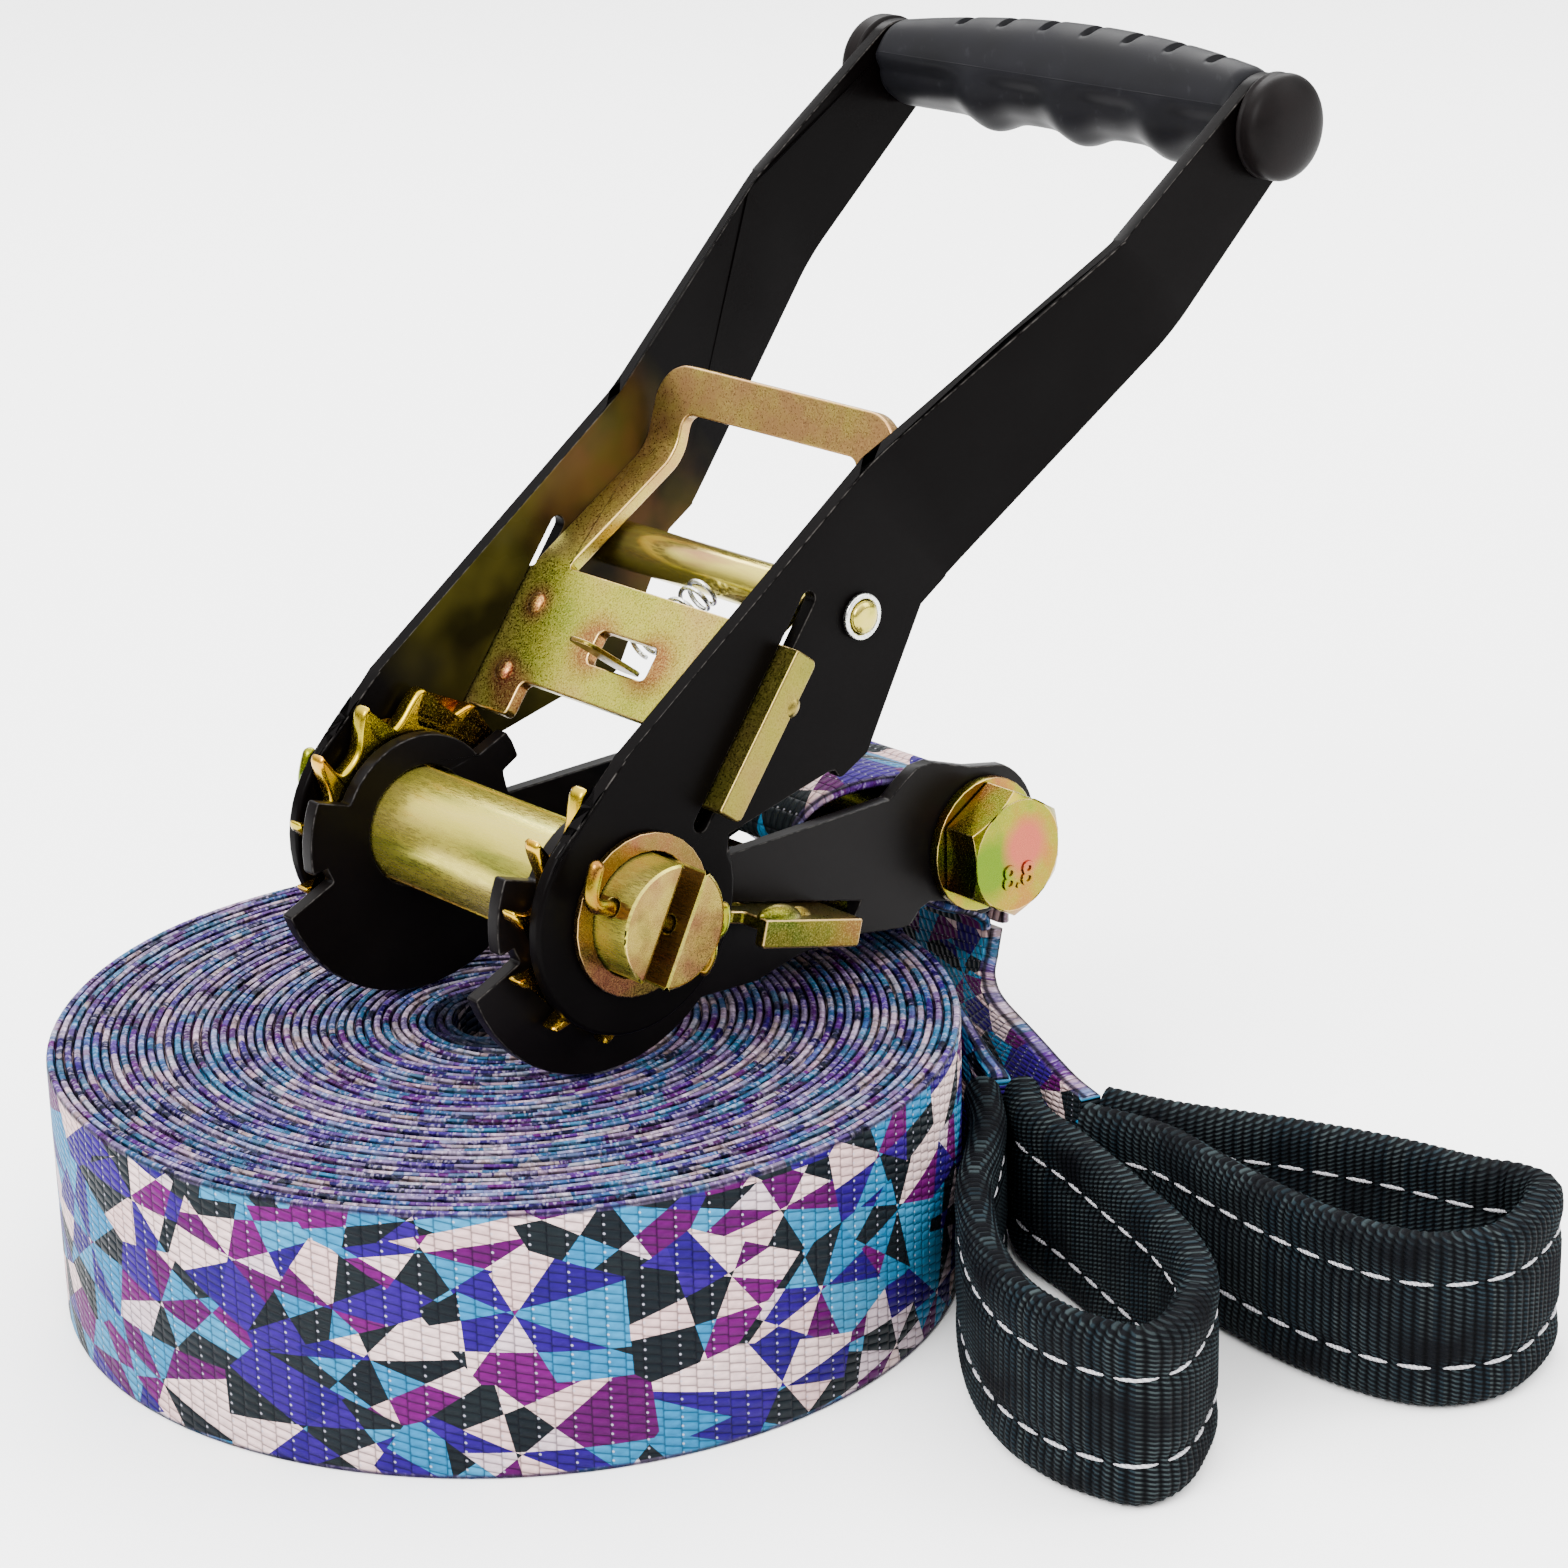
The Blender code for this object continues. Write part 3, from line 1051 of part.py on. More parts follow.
def coil_spring(name, start, direction, length, radius, curls, finish, parent):
    """A compression spring: an open helix of round wire with its ends cut square."""
    direction = direction.normalized()
    one = direction.cross(Vector((0.0, 0.0, 1.0))).normalized()
    two = direction.cross(one)
    steps = curls * SPRING_POINTS_PER_CURL
    first = SPRING_WIRE_RADIUS
    rise = length - 2 * SPRING_WIRE_RADIUS
    points = []
    for n in range(steps + 1):
        angle = 2.0 * math.pi * n / SPRING_POINTS_PER_CURL
        along = first + rise * n / steps
        points.append(start + direction * along + (one * math.cos(angle) + two * math.sin(angle)) * radius)
    least = rise / curls - 2 * SPRING_WIRE_RADIUS
    print(f"{name}: least gap between its curls {least * 1000:.2f} mm")
    add_piece(name, wire_mesh(name, points, SPRING_WIRE_RADIUS, 1), finish, parent)


def make_drive_spring():
    start, direction, length = drive_spring_line()
    tilt = abs(direction.y)
    across = abs(direction.x)
    outside = DRIVE_SPRING_RADIUS + SPRING_WIRE_RADIUS
    skip = (DRIVE_THICKNESS / 2 + FIT_GAP + outside * across) / tilt
    end = length - CROSS_ROD_RADIUS - FIT_GAP
    coil_spring(
        "drive_pawl_spring", start + direction * skip, direction, end - skip, DRIVE_SPRING_RADIUS,
        DRIVE_SPRING_CURLS, BRIGHT_STEEL, DRIVE_GUIDE)


def make_lock_pawl():
    """Sliding plate: teeth for both wheels, wings outside them, a spring seat at its back."""
    tooth_low = BASE_PLATE_OUTSIDE + FIT_GAP
    seat_half = LOCK_SPRING_RADIUS + SPRING_WIRE_RADIUS + FIT_GAP
    wing_out = LOCK_WING_REACH
    upper = [
        (LOCK_PLATE_START, tooth_low), (PAWL_TIP, tooth_low), (PAWL_TIP, DRIVE_SPAN),
        (LOCK_WING_START, DRIVE_SPAN), (LOCK_WING_START, wing_out), (LOCK_PLATE_END, wing_out),
        (LOCK_PLATE_END, seat_half), (LOCK_SPRING_SEAT, seat_half),
    ]
    mesh = plate_mesh("lock_pawl", [mirrored_outline(upper)], LOCK_THICKNESS)
    lay = Matrix.Translation((0.0, -LOCK_DROP, 0.0)) @ UPRIGHT
    pawl = add_piece("lock_pawl", move_mesh(mesh, lay), PLATED_STEEL, LOCK_GUIDE)
    face = -LOCK_DROP - LOCK_THICKNESS / 2
    for side, sign in SIDES:
        edge, inner_edge = sign * wing_out, sign * (wing_out - LOCK_THICKNESS)
        flange = box_mesh(
            "lock_pawl_flange", (LOCK_WING_START, face - LOCK_FLANGE_DROP, min(edge, inner_edge)),
            (LOCK_PLATE_END, face + LOCK_THICKNESS / 2, max(edge, inner_edge)))
        combine(pawl, add_cutter(f"lock_pawl_flange_{side}", flange, LOCK_GUIDE), "UNION")


def make_lock_spring_and_stay():
    stay_end = BASE_INNER_WIDTH / 2 - FIT_GAP
    stay = rod_mesh("lock_spring_stay", STAY_RADIUS, -stay_end, stay_end, SMALL_SIDES)
    place = turned_points([(STAY_REACH, -LOCK_DROP)], LOCK_ANGLE_DEGREES)[0]
    add_piece("lock_spring_stay", move_mesh(stay, Matrix.Translation((*place, 0.0))), PLATED_STEEL, RATCHET)
    start = LOCK_SPRING_SEAT + FIT_GAP
    end = STAY_REACH - STAY_RADIUS - FIT_GAP
    coil_spring(
        "lock_pawl_spring", Vector((start, -LOCK_DROP, 0.0)), Vector((1.0, 0.0, 0.0)), end - start,
        LOCK_SPRING_RADIUS, LOCK_SPRING_CURLS, BRIGHT_STEEL, LOCK_GUIDE)


def centre_the_stand():
    """Moves the whole kit so that the origin lies under the middle of its outer box."""
    bpy.context.view_layer.update()
    graph = bpy.context.evaluated_depsgraph_get()
    low, high = Vector((math.inf,) * 3), Vector((-math.inf,) * 3)
    for piece in PART.objects:
        if piece.type != "MESH":
            continue
        shape = piece.evaluated_get(graph)
        mesh = shape.to_mesh()
        for vertex in mesh.vertices:
            spot = piece.matrix_world @ vertex.co
            low = Vector(map(min, low, spot))
            high = Vector(map(max, high, spot))
        shape.to_mesh_clear()
    STAND.location = (-(low.x + high.x) / 2, -(low.y + high.y) / 2, -low.z)
    bpy.context.view_layer.update()
    print("box", [round(value * 1000, 2) for value in high - low])
    print("handle axis", [round(value, 6) for value in HANDLE_HINGE.matrix_world.translation])
    print("stand", [round(value, 6) for value in STAND.location])


make_coil()
make_tail()
make_sleeve("main_line_loop_sleeve", LINE_LOOP_SHARES)
make_sleeve("anchor_strap_loop_sleeve", STRAP_LOOP_SHARES)
make_base_plates()
make_anchor_bolt()
make_anchor_strap()
make_spindle()
make_wheels()
make_handle_plates()
make_grip()
make_grip_rod_and_caps()
make_cross_rod()
make_drive_pawl()
make_spring_guide()
make_drive_spring()
make_lock_pawl()
make_lock_spring_and_stay()
centre_the_stand()
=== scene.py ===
# %% [markdown]
# # A slackline kit, dressed for its picture
#
# The frame that is loaded here is the working model. Its metal pieces have their true sizes and
# their joints, and this script gives them rounded edges and finishes. The webbing and the
# sleeves are made anew, because cloth is where a working model is plainest.
#
# Everything is in metres. The box of the frame is kept at once, so that the dressed kit can be
# compared with it at the end.

import json
import math

import bmesh
import bpy
from mathutils import Matrix, Vector


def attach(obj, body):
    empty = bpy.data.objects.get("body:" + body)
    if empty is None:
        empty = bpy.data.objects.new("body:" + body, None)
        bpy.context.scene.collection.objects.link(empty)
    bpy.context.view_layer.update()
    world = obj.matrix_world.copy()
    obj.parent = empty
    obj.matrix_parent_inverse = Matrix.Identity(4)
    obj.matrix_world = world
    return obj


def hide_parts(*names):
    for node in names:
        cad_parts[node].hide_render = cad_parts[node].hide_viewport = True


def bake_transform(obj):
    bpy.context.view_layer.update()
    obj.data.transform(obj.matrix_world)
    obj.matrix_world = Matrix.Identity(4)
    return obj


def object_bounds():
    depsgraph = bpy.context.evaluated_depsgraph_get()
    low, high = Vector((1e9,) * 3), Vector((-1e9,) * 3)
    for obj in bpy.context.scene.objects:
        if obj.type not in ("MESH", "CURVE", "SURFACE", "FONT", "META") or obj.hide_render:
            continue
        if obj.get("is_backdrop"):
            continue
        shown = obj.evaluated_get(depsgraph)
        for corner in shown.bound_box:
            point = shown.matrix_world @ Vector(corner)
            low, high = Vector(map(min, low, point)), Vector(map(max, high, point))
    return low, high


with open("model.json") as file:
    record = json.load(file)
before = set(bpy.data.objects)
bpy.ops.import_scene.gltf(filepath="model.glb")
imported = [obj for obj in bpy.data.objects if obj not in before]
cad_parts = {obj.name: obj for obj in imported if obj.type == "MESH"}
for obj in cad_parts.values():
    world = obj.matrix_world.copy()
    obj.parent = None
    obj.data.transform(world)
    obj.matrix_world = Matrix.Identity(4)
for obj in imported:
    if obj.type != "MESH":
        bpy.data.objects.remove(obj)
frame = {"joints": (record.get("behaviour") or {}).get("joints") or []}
frame_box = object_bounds()
MM = 0.001
print("frame box in mm:", [round(size / MM, 1) for size in frame_box[1] - frame_box[0]])

# %% [markdown]
# ## The camera
#
# The picture was taken from a little above, with a long lens. Blender's camera looks along its
# own -Z, so its axes are written as a matrix: the direction it looks in, and its up and right
# sides turned by the small roll of the picture.

# %% Camera
CAMERA_PLACE = Vector((0.00053, -0.70654, 0.3399))
CAMERA_DOWN_DEGREES = 19.70
CAMERA_ROLL_DEGREES = -1.43
FOCAL_LENGTH_PIXELS = 4016.0
PICTURE_PIXELS = 1568.0
SENSOR_WIDTH = 36.0


def make_camera():
    down, roll = math.radians(CAMERA_DOWN_DEGREES), math.radians(CAMERA_ROLL_DEGREES)
    ahead = Vector((0.0, math.cos(down), -math.sin(down)))
    right = Vector((1.0, 0.0, 0.0))
    up = right.cross(ahead)
    side = right * math.cos(roll) + up * math.sin(roll)
    top = up * math.cos(roll) - right * math.sin(roll)
    camera = bpy.data.objects.new("camera", bpy.data.cameras.new("camera"))
    camera.data.sensor_width = SENSOR_WIDTH
    camera.data.lens = FOCAL_LENGTH_PIXELS / PICTURE_PIXELS * SENSOR_WIDTH
    turn = Matrix((side, top, -ahead)).transposed()
    camera.matrix_world = Matrix.Translation(CAMERA_PLACE) @ turn.to_4x4()
    bpy.context.scene.collection.objects.link(camera)
    bpy.context.scene.camera = camera
    return camera


print("lens in mm:", round(make_camera().data.lens, 1))

# %% [markdown]
# ## Where things are
#
# The ratchet's own frame is read from its joint: the handle swings about the spindle, so the
# joint's axis is the spindle's axis. In that frame X runs along the arms to the bolt, Y is up and
# Z points out of the side that faces the camera. The handle and the two pawls lie at angles to it,
# so each has a frame of its own that is turned about the spindle.
#
# The soft goods lie on routes drawn on the floor, measured from the middle of the coil.

# %% The ratchet's frame and the coil's middle
COIL_MIDDLE = Vector((-0.05167, -0.020242, 0.0))
UP = Vector((0.0, 0.0, 1.0))


def ratchet_frame():
    swing = next(joint for joint in frame["joints"] if joint["name"] == "handle_swing")
    outward = Vector(swing["axis"]).normalized()
    along = UP.cross(outward)
    turn = Matrix((along, UP, outward)).transposed().to_4x4()
    return Matrix.Translation(Vector(swing["pos_m"])) @ turn


def about_z(degrees):
    return Matrix.Rotation(math.radians(degrees), 4, "Z")


def in_ratchet(x, y, z, turn_degrees=0.0):
    """A place in millimetres in the ratchet's frame, or in a frame turned about the spindle."""
    return RATCHET @ (about_z(turn_degrees) @ (Vector((x, y, z)) * MM))


RATCHET = ratchet_frame()
OUT_OF_SIDE = RATCHET.col[2].xyz
HANDLE_DEGREES = 35.0
DRIVE_DEGREES = 53.0
LOCK_DEGREES = -15.0
BOLT_X, BOLT_Y = 90.98, -13.00
SIDES = (("front", 1.0), ("back", -1.0))
print("spindle axis at", [round(value, 4) for value in RATCHET.translation])

# %% [markdown]
# ## Writing a finish
#
# A finish is a small network of nodes in front of one shader. Each output of a node is kept as a
# Value, and Python's own signs are taught to add Math nodes, so that a formula in a finish reads
# like any other formula. The helpers add the other nodes and plug their inputs in by name. A
# colour is given as it is seen on a screen, from 0 to 255, and turned to the linear values that
# Blender calculates with.

# %% Helpers for finishes
def screen_colour(red, green, blue):
    def linear(value):
        share = value / 255.0
        return share / 12.92 if share <= 0.04045 else ((share + 0.055) / 1.055) ** 2.4
    return (linear(red), linear(green), linear(blue), 1.0)


def math_node(operation, swapped=False):
    def method(self, *others):
        values = (*others, self) if swapped else (self, *others)
        return self.finish.add("Math", dict(enumerate(values)), operation=operation)
    return method


class Value:
    """One output of a node. Every sum with it adds a Math node."""

    def __init__(self, finish, socket):
        self.finish, self.socket = finish, socket

    __add__, __radd__ = math_node("ADD"), math_node("ADD", True)
    __sub__, __rsub__ = math_node("SUBTRACT"), math_node("SUBTRACT", True)
    __mul__, __truediv__, __pow__ = math_node("MULTIPLY"), math_node("DIVIDE"), math_node("POWER")
    __gt__, __abs__ = math_node("GREATER_THAN"), math_node("ABSOLUTE")
    floor, fract = math_node("FLOOR"), math_node("FRACT")
    sine, cosine = math_node("SINE"), math_node("COSINE")


class Finish:
    """A material with one Principled shader, and short ways to add nodes in front of it."""

    def __init__(self, name, metallic=0.0, **settings):
        self.material = bpy.data.materials.new(name)
        self.material.use_nodes = True
        self.tree = self.material.node_tree
        self.finish(Metallic=metallic, **settings)

    def finish(self, **inputs):
        shader = self.tree.nodes["Principled BSDF"]
        self.set(shader, {name.replace("_", " "): value for name, value in inputs.items()})
        return self.material

    def set(self, node, inputs):
        for name, value in inputs.items():
            socket = node.inputs[name]
            if isinstance(value, Value):
                self.tree.links.new(value.socket, socket)
            elif socket.type == "RGBA" and len(value) == 3:
                socket.default_value = screen_colour(*value)
            else:
                socket.default_value = value

    def node(self, kind, inputs, **settings):
        node = self.tree.nodes.new("ShaderNode" + kind)
        for name, value in settings.items():
            setattr(node, name, value)
        self.set(node, inputs)
        return node

    def add(self, kind, inputs={}, output=0, **settings):
        """Adds a node and gives one of its outputs."""
        return Value(self, self.node(kind, inputs, **settings).outputs[output])

    def measure(self, operation, *vectors):
        return self.add("VectorMath", dict(enumerate(vectors)), "Value", operation=operation)

    def split(self, vector):
        return [Value(self, output) for output in self.node("SeparateXYZ", {0: vector}).outputs]

    def clamp_range(self, value, low, high, to_low=0.0, to_high=1.0):
        return self.add("MapRange", {"Value": value, "From Min": low, "From Max": high,
                                     "To Min": to_low, "To Max": to_high})

    def mix(self, share, one, two):
        return self.add("Mix", {0: share, 6: one, 7: two}, 2, data_type="RGBA")

    def tinted(self, colour, tints):
        """Mixes colours in, each by a function that says how much of it goes where."""
        for share_of, tint in tints:
            colour = self.mix(share_of(self), colour, tint)
        return colour

    def noise(self, vector, size, detail=2.0, roughness=0.5):
        """A cloudy pattern whose clouds are about that size."""
        return self.add("TexNoise", {"Vector": vector, "Scale": 1.0 / size, "Detail": detail,
                                     "Roughness": roughness})

    def chance(self, vector):
        """A random number from 0 to 1 that belongs to one place."""
        return self.add("TexWhiteNoise", {"Vector": vector}, "Value", noise_dimensions="3D")

    def places(self):
        return self.add("TexCoord", output="Object")

    def facing(self, direction):
        """The cosine between the object's own normal and a direction."""
        return self.measure("DOT_PRODUCT", self.add("TexCoord", output="Normal"), direction)

    def attribute(self, name, output="Fac"):
        return self.add("Attribute", output=output, attribute_name=name)

    def stretched(self, vector, scale, turn=(0.0, 0.0, 0.0)):
        """The same places with each axis scaled, so that a pattern is drawn out along one."""
        return self.add("Mapping", {"Vector": vector, "Scale": scale, "Rotation": turn})

    def ramp(self, value, stops, interpolation="LINEAR"):
        node = self.node("ValToRGB", {"Fac": value})
        node.color_ramp.interpolation = interpolation
        for place, colour in stops[2:]:
            node.color_ramp.elements.new(place)
        for element, (place, colour) in zip(node.color_ramp.elements, sorted(stops)):
            element.position = place
            element.color = screen_colour(*colour)
        return Value(self, node.outputs[0])

    def even_ramp(self, chance, colours):
        """One of the colours, all equally likely."""
        stops = [(n / len(colours), colour) for n, colour in enumerate(colours)]
        return self.ramp(chance, stops, "CONSTANT")

    def bump(self, height, distance, strength=1.0):
        return self.add("Bump", {"Height": height, "Distance": distance, "Strength": strength})


print("white as Blender sees it:", screen_colour(255, 255, 255))

# %% [markdown]
# ## The printed webbing
#
# The main line is woven polyester, 50 mm wide, printed with a mosaic of angular shards in cream,
# sky blue, violet, magenta and charcoal. The shards here come from a Voronoi pattern: each cell
# is cut by four straight lines at its centre and by two more beside it. Each line that is crossed
# changes between the dark colours and the light ones, and chance picks one of them. So the layout
# is this script's own.
#
# The pattern has to follow the cloth round the coil. Every webbing mesh below therefore stores,
# for each of its points, how far along and how far across the webbing it is. The finish reads
# that as an attribute, and the weave is drawn on it: columns of slanting floats of yarn, each
# column a little higher than the one before, with a painted highlight, a bright dot, where a float
# dips under. Painted shade darkens the low gaps between floats, the rounded corners of the thin
# edge, which draws the dark line between turns of the coil, and the first turns round the core.

# %% Printed webbing
WEBBING_WIDTH = 50.0 * MM
WEBBING_THICKNESS = 1.45 * MM
SHARD_SIZE = 21.5 * MM
SHARD_CUTS = ((0.0, 0.0), (0.62, 0.0), (1.40, 0.0), (2.25, 0.05), (0.9, 0.33), (2.6, -0.36))
YARN_PITCH = 1.72 * MM
FLOAT_LENGTH = 3.1 * MM
PAINTED_GLINT_RADIUS = 0.30 * MM
CORE_START = -0.24
WEAVE_RELIEF = 0.34 * MM
EDGE_START, EDGE_FULL = 1.1 * MM, 0.5 * MM
EDGE_PATCH = 5.0 * MM
EDGE_COLOURS = (
    (9, 8, 30), (84, 56, 128), (34, 92, 124), (78, 14, 92), (118, 100, 142), (10, 14, 24),
    (140, 122, 152), (62, 108, 138), (38, 10, 92),
)
DARK_PRINT = (
    (18, 24, 27), (34, 4, 98), (84, 2, 82), (14, 20, 24), (30, 4, 92), (72, 2, 72), (20, 26, 30),
)
LIGHT_PRINT = (
    (205, 172, 170), (24, 108, 152), (214, 186, 184), (44, 122, 162), (40, 8, 104), (196, 176, 184),
    (30, 114, 156),
)


def yarn_floats(finish, along, across):
    """Height of the weave from 0 to 1, and the painted highlights: bright dots at the ends of every second
    float.
    """
    run = along / FLOAT_LENGTH
    column = run.floor()
    ahead = run.fract() - 0.5
    drift = column * 0.36 - ahead * 0.42
    row = across / YARN_PITCH + drift
    over = row.fract() - 0.5
    side = abs(over) ** 2.2 * 4.6
    end = abs(ahead) ** 6.0 * 64.0
    height = (1.0 - side) * (1.0 - end)
    past = (ahead - 0.42) * FLOAT_LENGTH
    beside = over * YARN_PITCH
    from_end = finish.measure("LENGTH", finish.add("CombineXYZ", {0: past, 1: beside}))
    second = (column * 0.5).fract() > 0.25
    painted_glint = finish.clamp_range(from_end, 0.4 * PAINTED_GLINT_RADIUS, PAINTED_GLINT_RADIUS, 1.0, 0.0) * second
    return height, painted_glint


def shard_colours(finish, strip):
    """The print: Voronoi cells cut by straight lines, each piece in one of the colours."""
    scaled = finish.stretched(strip, (0.78 / SHARD_SIZE, 1.12 / SHARD_SIZE, 0.0), (0.0, 0.0, 0.5))
    centre = finish.add("TexVoronoi", {"Vector": scaled, "Scale": 1.0, "Randomness": 1.0}, "Position",
                        voronoi_dimensions="2D", feature="F1")
    right, up, _ = finish.split(finish.add("VectorMath", {0: scaled, 1: centre}, operation="SUBTRACT"))
    pick = finish.chance(centre)
    code, crossed = 0.0, 0.0
    for cut, (turn, aside) in enumerate(SHARD_CUTS):
        angle = pick * (2.0 * math.pi) + turn
        side = right * angle.cosine() + up * angle.sine() > aside
        code = code + side * (0.37 * 2 ** cut)
        crossed = crossed + side
    seed = finish.add("CombineXYZ", {2: code})
    chance = finish.chance(finish.add("VectorMath", {0: centre, 1: seed}, operation="ADD"))
    return finish.even_ramp(chance * 0.4999 + (crossed * 0.5).fract(), DARK_PRINT + LIGHT_PRINT)


def patch_colours(finish, along):
    """What the print comes to on the thin edge of the webbing: short patches of one colour."""
    patch = finish.add("CombineXYZ", {0: (along / EDGE_PATCH).floor()})
    return finish.even_ramp(finish.chance(patch), EDGE_COLOURS)


def printed_webbing():
    finish = Finish("printed_webbing", Roughness=0.46, Specular_IOR_Level=0.05)
    strip = finish.attribute("strip", "Vector")
    along, across, through = finish.split(strip)
    height, painted_glint = yarn_floats(finish, along, across)
    shade = finish.noise(finish.stretched(strip, (420.0, 900.0, 300.0)), 1.0, 2.0)
    dull = finish.clamp_range(shade, 0.3, 0.7, 0.0, 0.3)
    colour = finish.mix(dull, shard_colours(finish, strip), (6, 6, 12))
    # Painted shade: the low gaps between floats are darkened.
    colour = finish.mix(finish.clamp_range(height, 0.0, 0.50, 0.70, 0.0), colour, (5, 5, 12))
    # Painted highlight: bright dots at the ends of floats, where light would catch the yarn.
    colour = finish.mix(painted_glint * 0.75, colour, (168, 166, 180))
    edge = finish.clamp_range(abs(across), WEBBING_WIDTH / 2 - EDGE_START, WEBBING_WIDTH / 2 - EDGE_FULL)
    speckle = finish.noise(finish.stretched(strip, (1500.0, 900.0, 900.0)), 1.0, 1.0)
    threads = finish.ramp(speckle, [
        (0.0, (3, 3, 9)), (0.44, (10, 8, 34)), (0.56, (46, 38, 84)), (0.68, (150, 138, 164))])
    colour = finish.mix(edge * 0.55, colour, patch_colours(finish, along))
    colour = finish.mix(edge * 0.42, colour, threads)
    # Painted shade: the rounded corners of the thin edge are darkened, drawing the dark line between
    # turns.
    outside = finish.clamp_range(abs(through), WEBBING_THICKNESS * 0.24, WEBBING_THICKNESS * 0.44)
    colour = finish.mix(edge * outside * 0.9, colour, (2, 2, 6))
    # Painted shade: the first turns round the core, inside the coil, are darkened.
    core = finish.clamp_range(along, CORE_START, CORE_START + 0.08, 0.9, 0.0)
    colour = finish.mix(core, colour, (6, 8, 18))
    return finish.finish(Base_Color=colour, Normal=finish.bump(height, WEAVE_RELIEF))


PRINTED_WEBBING = printed_webbing()
print("colours in the print:", len(DARK_PRINT + LIGHT_PRINT))

# %% [markdown]
# ## Sweeping webbing along a path
#
# Webbing is one cross-section led along a path. A flat grid is enough to make it: its long side
# becomes the path and its short side is wrapped round the cross-section. The grid's two long
# edges then meet and are merged, and the two ends are closed. Each point keeps its place along,
# across and through the webbing in the attribute called strip.

# %% Helpers for webbing
MERGE_DISTANCE = 0.001 * MM


class Path:
    """A smooth path through listed points, measured along its length."""

    def __init__(self, points, parts=24):
        places = [Vector(point) for point in points]
        self.spots = []
        for n in range(len(places) - 1):
            one, two = places[n], places[n + 1]
            zero = places[n - 1] if n else one * 2 - two
            three = places[n + 2] if n + 2 < len(places) else two * 2 - one
            for k in range(parts):
                t = k / parts
                self.spots.append(0.5 * (
                    2 * one + (two - zero) * t + (2 * zero - 5 * one + 4 * two - three) * t ** 2
                    + (3 * one - zero - 3 * two + three) * t ** 3))
        self.spots.append(places[-1])
        self.reach = [0.0]
        for one, two in zip(self.spots, self.spots[1:]):
            self.reach.append(self.reach[-1] + (two - one).length)
        self.length = self.reach[-1]

    def at(self, distance):
        """The place at a distance along the path, and the direction of the path there."""
        low, high = 0, len(self.spots) - 2
        while low < high:
            middle = (low + high + 1) // 2
            if self.reach[middle] <= distance:
                low = middle
            else:
                high = middle - 1
        one, two = self.spots[low], self.spots[low + 1]
        share = (distance - self.reach[low]) / max(self.reach[low + 1] - self.reach[low], 1e-9)
        before, after = self.spots[max(low - 1, 0)], self.spots[min(low + 2, len(self.spots) - 1)]
        ahead = (two - before).lerp(after - one, min(max(share, 0.0), 1.0))
        return one.lerp(two, share), ahead.normalized()


def finished_object(name, shape, finish, sharp_degrees=35.0):
    """Turns a bmesh into a smooth-shaded piece at the origin."""
    bmesh.ops.recalc_face_normals(shape, faces=shape.faces)
    mesh = bpy.data.meshes.new(name)
    shape.to_mesh(mesh)
    shape.free()
    mesh.materials.append(finish)
    mesh.shade_smooth()
    mesh.set_sharp_from_angle(angle=math.radians(sharp_degrees))
    piece = bpy.data.objects.new(name, mesh)
    bpy.context.scene.collection.objects.link(piece)
    return piece


def place_on(piece, body, node):
    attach(piece, body)
    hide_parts(node)
    return piece


def grid_row(value, steps):
    """Which row of a new grid a coordinate from -1 to 1 belongs to."""
    return round((value + 1.0) / 2.0 * steps)


def close_up(shape):
    """Merges the points that fell together and fills the holes that are left."""
    bmesh.ops.remove_doubles(shape, verts=shape.verts, dist=MERGE_DISTANCE)
    bmesh.ops.holes_fill(shape, edges=[edge for edge in shape.edges if edge.is_boundary], sides=0)


def swept(name, stations, ring, place, finish):
    """A closed skin over a path; place(station, ring point) gives a point and its strip values."""
    shape = bmesh.new()
    rows = len(stations) - 1
    bmesh.ops.create_grid(shape, x_segments=rows, y_segments=len(ring), size=1.0)
    strip = shape.verts.layers.float_vector.new("strip")
    for vert in shape.verts:
        station = stations[grid_row(vert.co.x, rows)]
        vert.co, vert[strip] = place(station, ring[grid_row(vert.co.y, len(ring)) % len(ring)])
    close_up(shape)
    return finished_object(name, shape, finish)


def flat_ring(width, thickness, steps=4):
    """Webbing's cross-section as (through, across) points: flat faces and round edges."""
    radius, straight = thickness / 2, (width - thickness) / 2
    ring = []
    for side in (1.0, -1.0):
        for n in range(steps + 1):
            angle = math.radians(-90.0 + 180.0 * n / steps)
            ring.append((-side * radius * math.sin(angle), side * (straight + radius * math.cos(angle))))
    return ring


def all_round(count):
    """Angles spread evenly over a full turn."""
    return [2.0 * math.pi * n / count for n in range(count)]


def sideways(ahead):
    """The direction through webbing that stands on its edge and runs ahead."""
    return Vector((ahead.y, -ahead.x, 0.0)).normalized()


print("points round a webbing section:", len(flat_ring(WEBBING_WIDTH, WEBBING_THICKNESS)))

# %% [markdown]
# ## The coil
#
# The main line is thirteen metres of webbing rolled up tightly, so the coil has 45 turns, each a
# little over a millimetre and a half from the next. Rolling it in code is one formula: the angle
# grows with the distance along the webbing and the radius grows with the angle. A real roll is
# never quite even, so the edge of each turn rises and falls a little, and neighbouring turns
# wander together, which keeps them clear of each other.

# %% Coil
COIL_TURNS = 45
COIL_CORE_RADIUS = 10.0 * MM
COIL_OUTER_RADIUS = 84.4 * MM
COIL_END_DEGREES = 32.0
COIL_STEPS_PER_TURN = 104
EDGE_WANDER = 0.35 * MM
SIDE_WANDER = 0.25 * MM
COIL_PITCH = (COIL_OUTER_RADIUS - COIL_CORE_RADIUS) / COIL_TURNS


